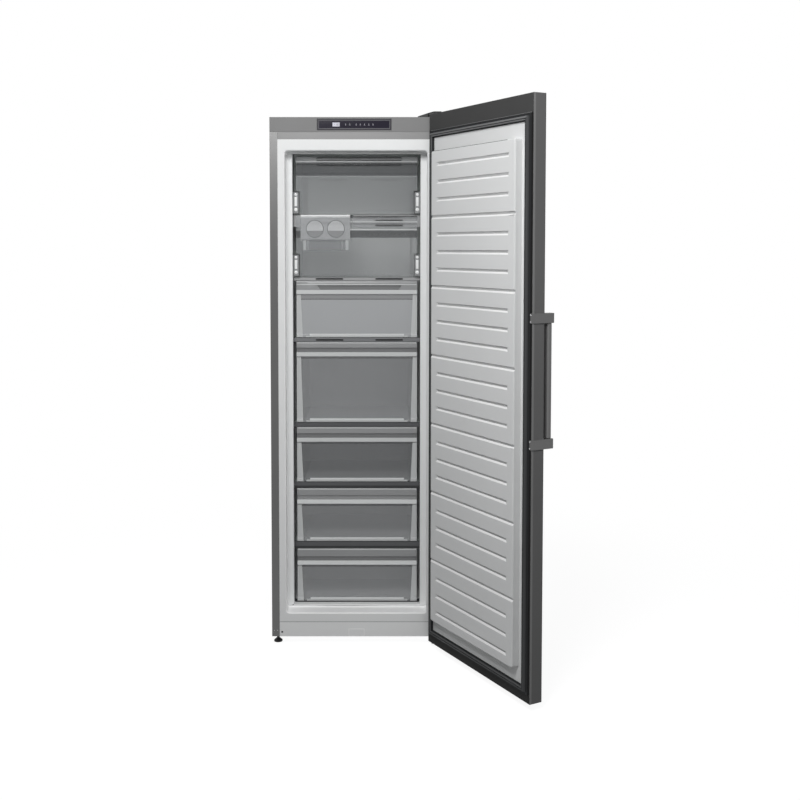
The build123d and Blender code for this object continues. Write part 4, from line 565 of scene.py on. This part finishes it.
# ---------------------------------------------------------------- cold air
# White moulded cover up the rear wall with rows of air slots and a round fan behind its grille. Under it
# stands the evaporator: thin aluminium fins pressed on tube, which frost grows on.
eased("air_duct_cover", liner_white, 0.0006)
fin_colour = tone(196, 198, 200)
fin_aluminium = finish("fin_aluminium", fin_colour, 0.32, 0.95)
mill_lines = speckle(fin_aluminium, 9, (1, 60, 60))
two_tone(fin_aluminium, mill_lines, fin_colour, 0.85, 1.1)
uneven(fin_aluminium, mill_lines, 0.25, 0.42)
kept("evaporator", fin_aluminium)
black_moulding = moulded("black_moulding", tone(32), 0.5, shine=0.3, pitch=800, height=0.00008)
kept("fan_motor", black_moulding)
eased("fan_rotor", black_moulding, 0.0003)

# ---------------------------------------------------------------- machine bay
# Black enamelled compressor on rubber buffers with a plastic tray on its head where defrost water dries off,
# and the condenser's bent tube behind the foam. The mains lead would enter through the bush in the cover.
machine_black = moulded("machine_enamel", tone(30, 30, 31), 0.3, coat=0.3, pitch=240, height=0.00008)
kept("compressor", machine_black)
kept("condenser", machine_black)
buffer_rubber = moulded("buffer_rubber", tone(40), 0.75, pitch=600, height=0.0001)
kept("compressor_mounts", buffer_rubber)
eased("drip_tray", black_moulding, 0.0008)
kept("power_gland", black_moulding)

# ---------------------------------------------------------------- shelves
# Safety glass plates with ground edges on the lining's ribs, each behind a rail that is clipped over its
# front edge. The upper three rails have long slots, painted near-black inside as painted shade. The rails are
# one moulding, painted darker the lower they stand as painted shade, the lowest two most of all at their
# foot.
shelf_glass = moulded("shelf_glass", tone(196, 214, 206), 0.05, alpha=0.22, spread=0.01, height=0.000005)
eased("glass_shelves", shelf_glass, 0.0006)
rail_light = moulded("rail_light", tone(158, 159, 160), 0.35, spread=0.02)
# Painted shade: darker copies of the one rail moulding for the lower rails, and near-black in the slots.
rail_half_painted_shade = moulded("rail_half_painted_shade", tone(122, 123, 125), 0.35, shine=0.3)
rail_painted_shade = moulded("rail_painted_shade", tone(84, 85, 87), 0.35, shine=0.3)
rail_foot_painted_shade = moulded("rail_foot_painted_shade", tone(60, 61, 62), 0.5, shine=0.2)
slot_painted_shade = moulded("slot_shadow", tone(24), 0.7, shine=0.1)
rail_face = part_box("shelf_trims")[0].y
off_centre = 0.009
dark_rails_top, middle_rail_top = 1.0, 1.2
deep_tops, deep_height = (0.3290, 0.5485), 0.012


def in_slot(point):
    """True inside one of the long slots, which are 4 mm deep in the rail's face."""
    return (rail_face + 0.0003 < point.y < rail_face + 0.0045
            and 0.055 < abs(point.x - off_centre) < 0.157)


def slid(shape):
    """The slots and finger scoops sit 9 mm to the right of the middle."""
    for vert in shape.verts:
        if abs(vert.co.x) < 0.16:
            vert.co.x += off_centre


eased("shelf_trims", rail_light, 0.0005, shaping=slid, cuts=at_heights(*deep_tops), zones=[
    (rail_painted_shade, lambda p, n: p.z < dark_rails_top),
    (rail_half_painted_shade, lambda p, n: dark_rails_top < p.z < middle_rail_top),
    (rail_foot_painted_shade, lambda p, n: any(z - deep_height < p.z < z for z in deep_tops)),
    (slot_painted_shade, lambda p, n: in_slot(p))])

# ---------------------------------------------------------------- flaps
# Clear polystyrene flaps over the two upper shelves: thin pane, thicker band and a grip rail with beads and
# scoops, pinned at their lower corners in white cheeks on the side walls. The band's dark grey is painted
# shade of the space behind it, the beads' brightness is a painted highlight and the dark lines along the
# scoops are painted shade.


def clear_moulding(name, colour, see_through, edge, roughness=0.1):
    """Clear polystyrene: see-through face on, and denser where it is looked at along its thickness."""
    plastic = moulded(name, colour, roughness, spread=0.02, pitch=90, height=0.00001)
    nodes, links = plastic.node_tree.nodes, plastic.node_tree.links
    facing = nodes.new("ShaderNodeLayerWeight")
    facing.inputs["Blend"].default_value = 0.2
    density = nodes.new("ShaderNodeMapRange")
    density.inputs["To Min"].default_value = see_through
    density.inputs["To Max"].default_value = edge
    links.new(facing.outputs["Facing"], density.inputs["Value"])
    links.new(density.outputs["Result"], nodes["Principled BSDF"].inputs["Alpha"])
    return plastic


def strip(name, material, x_range, top, height, face, proud, body):
    """A slim bead on a front, that far proud of its face, from one x to another and as far down as height."""
    bead = bmesh.new()
    block(bead, (x_range[0], face - proud, top - height), (x_range[1], face + 0.0004, top))
    soften(bead, bead.edges, proud * 0.8)
    placed(name, bead, material, body)


flap_clear = clear_moulding("flap_clear", tone(200, 203, 205), 0.2, 0.5)
flap_rail = clear_moulding("flap_rail", tone(164, 166, 167), 0.74, 0.9, 0.3)
# Painted shade: dark grey in the flaps' band for the shaded space seen through it; left clear before the ice
# maker.
flap_band_painted_shade = clear_moulding("flap_band_painted_shade", tone(96, 98, 100), 0.6, 0.8)
# Painted shade: nearly opaque dark grey for the lines along the scoops, the lower flap's top edge, and the
# ice bin's foot and its rim under the housing.
flap_painted_shade = clear_moulding("flap_painted_shade", tone(54, 55, 56), 0.9, 0.95)
# Painted highlight: the beads on the flaps and the ice bin's wide ribs are shapes, and their bright finish
# stands for the light their rounded faces catch.
flap_bead_painted_highlight = clear_moulding("flap_bead_painted_highlight", tone(206, 208, 208), 0.9, 0.98, 0.2)

low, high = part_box("flap_upper")
rail_foot, band_foot, line_foot = (high.z - drop for drop in (0.0240, 0.0680, 0.0700))
eased("flap_upper", flap_clear, 0.0006, shaping=slid,
      cuts=at_heights(rail_foot, band_foot, line_foot), zones=[
          (flap_rail, lambda p, n: p.z > rail_foot),
          (flap_band_painted_shade, lambda p, n: band_foot < p.z <= rail_foot),
          (flap_rail, lambda p, n: line_foot < p.z <= band_foot)])
strip("flap_upper_bead", flap_bead_painted_highlight, (low.x + 0.001, high.x - 0.001), high.z - 0.0170, 0.0032, low.y, 0.0007,
      "upper_flap")
scoop_x = (off_centre - 0.1485, off_centre + 0.1485)
for number, (drop, height) in enumerate(((0.0024, 0.0034), (0.0138, 0.0028), (0.0266, 0.0040)), 1):
    strip(f"flap_upper_scoop_{number}", flap_painted_shade, scoop_x, high.z - drop, height, low.y, 0.0005,
          "upper_flap")

low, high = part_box("flap_lower")
ice_low, ice_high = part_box("ice_maker_housing")
band_top, band_foot, edge_foot = (high.z - drop for drop in (0.0520, 0.0768, 0.0022))
pane_y = low.y + 0.008
eased("flap_lower", flap_clear, 0.0006,
      cuts=at_heights(band_top, band_foot, edge_foot) + at_sides(ice_low.x, ice_high.x), zones=[
          (flap_band_painted_shade, lambda p, n: band_foot < p.z <= band_top and not ice_low.x < p.x < ice_high.x),
          (flap_painted_shade, lambda p, n: p.z > edge_foot and p.x > ice_high.x)])
for name, drop, height, face in (("upper", 0.0200, 0.0032, low.y), ("lower", 0.0464, 0.0036, pane_y)):
    strip(f"flap_lower_{name}_bead", flap_bead_painted_highlight, (ice_high.x, high.x - 0.001), high.z - drop, height, face,
          0.0006, "lower_flap")
scoop_x = (off_centre + 0.0575, off_centre + 0.1545)
for number, (drop, height, face) in enumerate(((0.0142, 0.0032, low.y), (0.0312, 0.0034, pane_y)), 1):
    strip(f"flap_lower_scoop_{number}", flap_painted_shade, scoop_x, high.z - drop, height, face, 0.0005, "lower_flap")

cheek_white = clear_moulding("cheek_white", tone(160, 162, 163), 0.75, 0.9, 0.25)
eased("flap_brackets", cheek_white, 0.0012)
cheek_bright = moulded("cheek_bright", tone(238, 239, 239), 0.12, coat=0.6)
cheek_shadow = moulded("cheek_shadow", tone(66, 67, 68), 0.5, shine=0.2)
cheek_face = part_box("flap_brackets")[0].y
cheek_middle, notch_inner, notch_outer = 0.2142, 0.2037, 0.2245
for flap in ("upper", "lower"):
    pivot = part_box(f"flap_{flap}")[0].z + 0.016
    for across, name in ((-1, "left"), (1, "right")):
        middle_x = across * cheek_middle
        bar = bmesh.new()
        block(bar, (middle_x - 0.0044, cheek_face - 0.0014, pivot + 0.012),
              (middle_x + 0.0044, cheek_face + 0.0005, pivot + 0.044))
        soften(bar, bar.edges, 0.0010)
        placed(f"cheek_bar_{flap}_{name}", bar, cheek_bright, "cabinet")
        knobs = bmesh.new()
        for lift, radius in ((0, 0.0064), (0.0530, 0.0052)):
            flattened = (Matrix.Translation((middle_x, cheek_face, pivot + lift))
                         @ Matrix.Diagonal((1, 0.45, 1, 1)))
            bmesh.ops.create_uvsphere(knobs, u_segments=24, v_segments=12, radius=radius, matrix=flattened)
        placed(f"cheek_knobs_{flap}_{name}", knobs, cheek_bright, "cabinet")
        left, right = sorted((across * notch_inner, across * notch_outer))
        notch = outline((left, pivot - 0.0135), (right, pivot + 0.0617), 0.0013, cheek_face - 0.0003,
                        cheek_face + 0.0004)
        placed(f"cheek_notch_{flap}_{name}", notch, cheek_shadow, "cabinet")

# ---------------------------------------------------------------- ice maker
# Light grey moulded frame under the top shelf with two round knobs; each knob turns its own tray over to
# drop the cubes into the clear bin that hangs below.
ice_grey = moulded("ice_grey", tone(172, 173, 174), 0.4, shine=0.3, spread=0.015)
ice_bright = moulded("ice_bright", tone(240, 241, 241), 0.3, spread=0.01)
# Painted light and shade on each knob: the grip's upper part in a lighter grey and its part below the chord
# in a darker one, and a dark ring round the grip for the shade in its groove.
grip_painted_light = moulded("grip_painted_light", tone(196, 197, 198), 0.4, shine=0.3, spread=0.01)
grip_painted_shade = moulded("grip_painted_shade", tone(134, 135, 136), 0.45, shine=0.3)
ring_painted_shade = moulded("knob_ring_painted_shade", tone(84, 85, 86), 0.5, shine=0.2)
bright_foot = ice_high.z - 0.010
eased("ice_maker_housing", ice_grey, 0.0008, cuts=at_heights(bright_foot),
      zones=[(ice_bright, lambda p, n: p.z > bright_foot and n.y < -0.5)])
for name in ("left", "right"):
    tray = f"ice_tray_{name}"
    body = f"{name}_ice_tray"
    eased(tray, ice_grey, 0.0009)
    knob_low, knob_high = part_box(tray)
    centre = ((knob_low.x + knob_high.x) / 2, knob_low.y, (knob_low.z + knob_high.z) / 2)
    knob_radius = (knob_high.x - knob_low.x) / 2
    ring = bmesh.new()
    disc(ring, centre, knob_radius - 0.0006, 0.0006, sides=48)
    placed(f"knob_ring_painted_shade_{name}", ring, ring_painted_shade, body)
    grip = bmesh.new()
    bmesh.ops.create_circle(grip, cap_ends=True, segments=48, radius=knob_radius - 0.0032,
                            matrix=Matrix.Translation(centre) @ Matrix.Rotation(math.radians(90), 4, "X"))
    chord = centre[2] - 0.0065
    parted(grip, (0, 0, chord), (0, 0, 1))
    thickened(grip, grip.faces[:], -0.0011)
    for face in grip.faces:
        face.material_index = 1 if face.calc_center_median().z < chord else 0
    placed(f"knob_grip_{name}", grip, grip_painted_light, body, more=[grip_painted_shade])

bin_clear = clear_moulding("bin_clear", tone(140, 143, 145), 0.42, 0.8)
bin_low, bin_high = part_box("ice_bin")
bin_foot, bin_rim = bin_low.z + 0.0026, ice_low.z - 0.0024
eased("ice_bin", bin_clear, 0.0008, cuts=at_heights(bin_foot, bin_rim),
      zones=[(flap_painted_shade, lambda p, n: n.y < -0.5 and not bin_foot < p.z < bin_rim)])
wide_rib, thin_rib = (0.0110, flap_bead_painted_highlight), (0.0050, flap_rail)
for number, (left, (width, rib_finish)) in enumerate((
        (0.006, wide_rib), (0.0205, thin_rib), (0.1420, thin_rib), (0.1560, wide_rib)), 1):
    rib = bmesh.new()
    block(rib, (bin_low.x + left, bin_low.y - 0.0008, bin_low.z + 0.0015),
          (bin_low.x + left + width, bin_low.y + 0.0004, bin_high.z - 0.0015))
    soften(rib, rib.edges, 0.0006)
    placed(f"ice_bin_rib_{number}", rib, rib_finish, "cabinet")

# ---------------------------------------------------------------- drawers
# Five tubs of clear polystyrene. Each front is a thick plate with a plain band, a finger groove and a bright
# lip;
# the window under the lip is thin, and it has a foot strip. Light and shade are painted on them: the foot
# strip and a bead near the top in the lip's bright finish as painted highlights, the strips beside the tub
# and the lower drawers' lips lighter as painted light, the groove darker as painted shade except on drawer 4,
# a line of painted shade under the lip, widened on drawer 1 by a band of painted shadow, drawer 1's window
# lighter and drawer 3's darker, and each tub's floor and back paler as painted light.
# Painted light and shade: the lighter and darker copies of the clear plastic below stand for light and shade
# on the fronts and tubs.
front_clear = clear_moulding("front_clear", tone(204, 206, 208), 0.22, 0.6)
window_painted_shade = clear_moulding("window_painted_shade", tone(166, 168, 170), 0.22, 0.6)
window_painted_light = clear_moulding("window_painted_light", tone(204, 206, 208), 0.5, 0.7)
band_painted_shadow = clear_moulding("band_painted_shadow", tone(176, 177, 178), 0.5, 0.7)
front_shade = clear_moulding("front_shade", tone(118, 119, 120), 0.5, 0.7)
side_painted_light = clear_moulding("side_painted_light", tone(208, 210, 210), 0.8, 0.95)
front_band = clear_moulding("front_band", tone(160, 161, 162), 0.78, 0.9, 0.32)
groove_painted_shade = clear_moulding("groove_painted_shade", tone(124, 125, 126), 0.82, 0.9, 0.32)
front_lip = clear_moulding("front_lip", tone(212, 214, 214), 0.9, 0.98, 0.3)
lip_painted_light = clear_moulding("lip_painted_light", tone(234, 236, 236), 0.9, 0.98, 0.3)
tub_floor_painted_light = clear_moulding("tub_floor_painted_light", tone(226, 228, 229), 0.55, 0.7)
tub_rear_painted_light = clear_moulding("tub_rear_painted_light", tone(206, 208, 210), 0.62, 0.75)
tub_clear = clear_moulding("tub_clear", tone(204, 207, 209), 0.12, 0.45)
strip_half, foot_half, line = 0.168, 0.181, 0.003


def drawer(number, raised):
    """Dresses one drawer, 1 at the top, whose lip and groove stand that much higher than in the frame."""
    low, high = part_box(f"drawer_{number}_front")
    lip_top, lip_low, groove_top = (high.z - drop + raised for drop in (0.0380, 0.0520, 0.0220))
    foot_low, foot_top = low.z + 0.0055, low.z + 0.0120
    shade_line_top = lip_low - (0.0175 if number == 1 else 0.0060)
    rim_half, floor_half = high.x - 0.0145, high.x - 0.0225
    lean = Vector((lip_top - low.z, 0, floor_half - rim_half))
    cuts = at_heights(lip_top, lip_low - line, shade_line_top, shade_line_top - line, foot_low, foot_top)
    cuts += at_sides(-foot_half, -strip_half, strip_half, foot_half)
    cuts += [((floor_half, 0, low.z), lean), ((-floor_half, 0, low.z), Vector((-lean.x, 0, lean.z)))]

    def set_lip(shape):
        for vert in shape.verts:
            if 0.021 < high.z - vert.co.z < 0.056:
                vert.co.z += raised
        if number == 1:
            slid(shape)

    def beside_tub(point):
        rise = (point.z - low.z) / (lip_top - low.z)
        return abs(point.x) > floor_half + (rim_half - floor_half) * rise

    window = {1: window_painted_light, 3: window_painted_shade}.get(number, front_clear)
    under_lip_finish = band_painted_shadow if number == 1 else window
    groove = front_band if number == 4 else groove_painted_shade
    lip = lip_painted_light if number > 3 else front_lip
    # Zones of painted light and shade: shadow band and shade line under the lip, lighter side strips, the
    # foot strip as a highlight, the groove darker.
    eased(f"drawer_{number}_front", window, 0.0006, cuts=cuts, shaping=set_lip, zones=[
        (under_lip_finish, lambda p, n: shade_line_top < p.z < lip_low - line),
        (front_shade, lambda p, n: shade_line_top - line < p.z < shade_line_top),
        (side_painted_light, lambda p, n: p.z < lip_low and beside_tub(p)),
        (front_lip, lambda p, n: foot_low < p.z < foot_top and abs(p.x) < strip_half),
        (side_painted_light, lambda p, n: p.z < foot_low and abs(p.x) < foot_half),
        (front_band, lambda p, n: p.z > lip_top),
        (groove, lambda p, n: lip_top < p.z < groove_top and p.y > low.y + 0.0012),
        (lip, lambda p, n: lip_low < p.z <= lip_top)])
    # Painted highlight: a bright bead along the front near its top.
    bead_top = high.z - (0.0116 if number == 1 else 0.0010)
    strip(f"drawer_{number}_bead", front_lip, (low.x + 0.0015, high.x - 0.0015), bead_top, 0.0030, low.y,
          0.0005, f"drawer_{number}")
    tub_low, tub_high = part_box(f"drawer_{number}_bin")
    # Painted light: the tub's floor and back get paler, denser copies of its clear plastic.
    eased(f"drawer_{number}_bin", tub_clear, 0.0006, zones=[
        (tub_floor_painted_light, lambda p, n: n.z > 0.9 and p.z < tub_low.z + 0.02),
        (tub_rear_painted_light, lambda p, n: n.y < -0.8 and p.y > tub_high.y - 0.03)])


for number, raised in enumerate((0.0055, 0.0020, 0, -0.0030, -0.0060), 1):
    drawer(number, raised)

# ---------------------------------------------------------------- door
# Steel skin in the case's lacquer, matt on its free edge, foamed to a white lining with a raised, grooved
# panel. Dark caps close both ends. The door is worked on as if shut, and then turned to where it rests.
door_joint = next(joint for joint in frame["joints"] if joint["name"] == "door_hinge")
door_pin = Matrix.Translation(Vector(door_joint["pos_m"]))
swing = door_pin @ Matrix.Rotation(math.radians(-door_joint["range_deg"][0]), 4, "Z") @ door_pin.inverted()


def shut_box(node):
    """The corners of a door piece's box while the door is shut."""
    points = [swing.inverted() @ v.co for v in frame["nodes"][node].data.vertices]
    return Vector(map(min, zip(*points))), Vector(map(max, zip(*points)))


door_lacquer = brushed_steel("door_lacquer", 106, 0.45, 0, shine=0.05)
# Painted highlight: a lighter lacquer on the strip of the free edge nearest the front, for the light its
# rounded fold catches.
fold_painted_highlight = brushed_steel("fold_painted_highlight", 128, 0.45, 0, shine=0.1)
# Painted shade: near-black on the lining's rim outside the seal and on the skin's inner edge, for the shade
# in the gaps there.
gap_painted_shade = moulded("gap_painted_shade", tone(26), 0.6, shine=0.15)
skin_low, skin_high = shut_box("door_skin")
sheet_left, sheet_right, fold_front = skin_low.x + 0.0014, skin_high.x - 0.0014, skin_high.y - 0.007
eased("door_skin", case_lacquer, 0.0004, turned=swing,
      cuts=at_sides(sheet_left, sheet_right) + at_depths(fold_front), zones=[
          (gap_painted_shade, lambda p, n: n.y > 0.5 and p.y > skin_high.y - 0.0015
           and sheet_left < p.x < sheet_right),
          (door_lacquer, lambda p, n: n.x < -0.3 and p.x < skin_low.x + 0.001),
          (fold_painted_highlight, lambda p, n: n.x < -0.5 and p.y > fold_front and p.x < skin_low.x + 0.001)])

panel_face = shut_box("door_liner")[1].y
groove_floor = panel_face - 0.004
panel_half, panel_low, panel_high = 0.242, 0.122, 1.725


def drafted(shape):
    """The panel's rim gets the mould's large radius. Each groove gets a steep upper flank and a long lower
    one, and slanting ends where it stops short of the rim."""
    rim_radius, end_slant, rim_margin, steep = 0.0038, 0.008, 0.0085, math.radians(60)
    near, same_level = 0.0004, 0.001
    # From face to floor the long lower flank runs from 3 mm below to 2.5 mm above the frame's edge, and the
    # upper one from 1.5 mm above to 2 mm below it.
    grooves = set()
    for face in shape.faces:
        points = [v.co for v in face.verts]
        if face.normal.y > 0.9 and all(abs(p.y - groove_floor) < 0.0003 for p in points):
            grooves.add((min(p.z for p in points), max(p.z for p in points), max(p.x for p in points)))

    def inside(height):
        return panel_low + rim_margin < height < panel_high - rim_margin

    def on_rim(edge):
        one, other = (v.co for v in edge.verts)
        off_face = max(abs(one.y - panel_face), abs(other.y - panel_face)) > 0.0002
        if edge.calc_face_angle(0) < steep or off_face:
            return False
        if abs(one.z - other.z) < same_level and inside(one.z):
            return False
        return all(abs(p.x) > panel_half - rim_margin or not inside(p.z) for p in (one, other))

    soften(shape, [e for e in shape.edges if on_rim(e)], rim_radius, 4, limited=False)
    for vert in shape.verts:
        depth = (panel_face - vert.co.y) / (panel_face - groove_floor)
        if not -0.1 < depth < 1.1 or abs(vert.co.x) > panel_half + 0.0005:
            continue
        for bottom, top, end in grooves:
            if not bottom - near < vert.co.z < top + near:
                continue
            if end < panel_half - 0.006 and abs(abs(vert.co.x) - end) < 0.0005:
                vert.co.x -= math.copysign(end_slant * depth, vert.co.x)
            if vert.co.z < bottom + near:
                vert.co.z += 0.0055 * depth - 0.0030
            elif vert.co.z > top - near:
                vert.co.z += 0.0015 - 0.0035 * depth
            break


door_white = moulded("door_white", tone(233, 234, 234), 0.42, shine=0.25, spread=0.012, pitch=300,
                     height=0.00002)
# Painted light and shade on the lining: the top rim above the seal, the panel's top edge, each groove's brow
# and floor and the panel's side wall by the free edge get darker copies of its white, and each groove's long
# lower flank a whiter one.
rim_painted_shade = moulded("rim_painted_shade", tone(118, 119, 119), 0.5, shine=0.2)
lip_shade = moulded("panel_top_shade", tone(104, 105, 105), 0.5, shine=0.2)
flank_painted_light = moulded("groove_flank_painted_light", tone(254, 254, 254), 0.42, shine=0.25)
flank_shade = moulded("groove_brow_painted_shade", tone(224, 225, 225), 0.5, shine=0.2)
floor_shade = moulded("groove_floor", tone(194, 195, 195), 0.5, shine=0.2)
panel_side_painted_shade = moulded("panel_side_painted_shade", tone(212, 213, 213), 0.42, shine=0.2)
seal_low, seal_high = shut_box("door_gasket")
lap_left, lap_right, lap_top = seal_low.x + 0.0004, seal_high.x - 0.0004, seal_high.z - 0.0004
lip_left = -0.2


def among_grooves(point):
    """True within the heights of the panel that carry grooves."""
    return panel_low + 0.01 < point.z < panel_high - 0.01


eased("door_liner", door_white, 0.0012, 3, turned=swing, shaping=drafted,
      cuts=at_heights(lap_top) + at_sides(lap_left, lip_left, lap_right), zones=[
          (gap_painted_shade, lambda p, n: not lap_left < p.x < lap_right),
          (rim_painted_shade, lambda p, n: p.z > lap_top),
          (lip_shade, lambda p, n: n.z > 0.35 and panel_high - 0.007 < p.z < panel_high + 0.001
           and p.x > lip_left),
          (flank_painted_light, lambda p, n: n.z > 0.25 and n.y > 0.3 and among_grooves(p)
           and groove_floor < p.y < panel_face),
          (flank_shade, lambda p, n: n.z < -0.3 and among_grooves(p) and p.y < panel_face
           and abs(p.x) < panel_half - 0.001),
          (floor_shade, lambda p, n: n.y > 0.9 and among_grooves(p) and abs(p.y - groove_floor) < 0.0004
           and abs(p.x) < panel_half - 0.001),
          (panel_side_painted_shade, lambda p, n: n.x < -0.4 and abs(p.x + panel_half) < 0.004)])
cap_top = moulded("cap_charcoal", tone(70), 0.6, shine=0.1, pitch=700, height=0.00006)
cap_bottom = moulded("cap_black", tone(38), 0.6, shine=0.08, pitch=700, height=0.00006)
eased("door_top_cap", cap_top, 0.0012)
eased("door_bottom_cap", cap_bottom, 0.0012)

# ---------------------------------------------------------------- door seal
# One length of soft grey profile welded into a frame at its mitred corners: a low foot in the lining's edge,
# then the hollow bulb that meets the cabinet, with a fold along its middle, and a narrow inner foot.


def seal_rubber(name, shade, roughness=0.6, shine=0.2):
    """Soft grey profile."""
    return moulded(name, tone(shade, shade + 1, shade + 2), roughness, shine=shine, pitch=500, height=0.00008)


# Painted light and shade on the one grey rubber: both feet near-black as painted shade, the fold lighter and
# the whole top length lighter still as painted light.
seal_grey = seal_rubber("seal_bulb", 66)
seal_others = [seal_rubber("seal_foot_painted_shade", 42, 0.7, 0.15), seal_rubber("seal_fold_painted_light", 84),
               seal_rubber("seal_top_painted_light", 114)]
bulb, foot, fold, head = range(4)
head_height = 0.0255
seal = bmesh.new()
corners = ((seal_low.x, seal_low.z), (seal_low.x, seal_high.z), (seal_high.x, seal_high.z),
           (seal_high.x, seal_low.z))
sheet = seal.faces.new([seal.verts.new((x, seal_low.y, z)) for x, z in corners])
sheet.normal_update()
profile = ((0.0003, 0.0036, foot), (0.0080, 0, foot), (0.0006, 0.0055, bulb), (0.0018, 0.0024, bulb),
           (0.0042, 0, bulb), (0.0006, -0.0022, foot), (0.0012, 0, foot), (0.0006, 0.0020, foot),
           (0.0030, -0.0002, fold), (0.0012, -0.0030, fold), (0.0006, -0.0045, foot), (0.0016, 0, foot),
           (0.0003, -0.0036, foot))
for inward, outward, shade in profile:
    ring = bmesh.ops.inset_region(seal, faces=[sheet], thickness=inward, depth=outward, use_boundary=True,
                                  use_even_offset=True)
    for face in ring["faces"]:
        face.material_index = shade
bmesh.ops.delete(seal, geom=[sheet], context="FACES")
bmesh.ops.bridge_loops(seal, edges=[e for e in seal.edges if e.is_boundary])
bmesh.ops.recalc_face_normals(seal, faces=seal.faces[:])
for face in seal.faces:
    in_head = face.calc_center_median().z > seal_high.z - head_height
    if in_head and face.normal.y > 0.2 and face.material_index != foot:
        face.material_index = head
bmesh.ops.transform(seal, matrix=swing, verts=seal.verts[:])
placed("door_seal", seal, seal_grey, "door", stands_for="door_gasket", more=seal_others,
       smooth=60)

# ---------------------------------------------------------------- handle
# Two pressed steel straps, each held by two screws at the door's free edge, carry an upright bar of brushed
# steel with well rounded edges.
strap_steel = brushed_steel("strap_steel", 104, 0.34, 0.6)
eased("handle_brackets", strap_steel, 0.0008)
bar_low, bar_high = shut_box("handle_bar")


def deeper_bar(shape):
    """The bar's inner side stands 7 mm further in than the frame's plain bar."""
    for vert in shape.verts:
        if vert.co.x > (bar_low.x + bar_high.x) / 2:
            vert.co.x += 0.0070


bar_steel = brushed_steel("bar_steel", 111, 0.32, 0.35)
eased("handle_bar", bar_steel, 0.0028, 3, turned=swing, shaping=deeper_bar)
bright_zinc = finish("bright_zinc", tone(190, 190, 192), 0.24, 0.95)
uneven(bright_zinc, speckle(bright_zinc, 160), 0.18, 0.32)
grain(bright_zinc, speckle(bright_zinc, 500), 0.00003, 0.3)
eased("handle_screws", bright_zinc, 0.0003)

# ---------------------------------------------------------------- hinges
# Cranked steel plates with pins that turn in plain plastic bushes. The upper plate is screwed to the
# cabinet's top under a black clip-on cover.
eased("top_hinge_bracket", machine_black, 0.0004)
eased("bottom_hinge_bracket", bright_zinc, 0.0004)
eased("hinge_screws", bright_zinc, 0.0002)
eased("top_hinge_cover", black_moulding, 0.0008, shaping=quartered)
kept("door_hinge_bushes", black_moulding)

# ---------------------------------------------------------------- feet and rollers
# Black moulded levelling feet on threaded stems at the front, and two rollers on one axle in zinc forks
# behind.
eased("front_foot_left", black_moulding, 0.0008)
eased("front_foot_right", black_moulding, 0.0008)
eased("roller_brackets", zinc, 0.0003)
eased("rear_rollers", black_moulding, 0.0006)
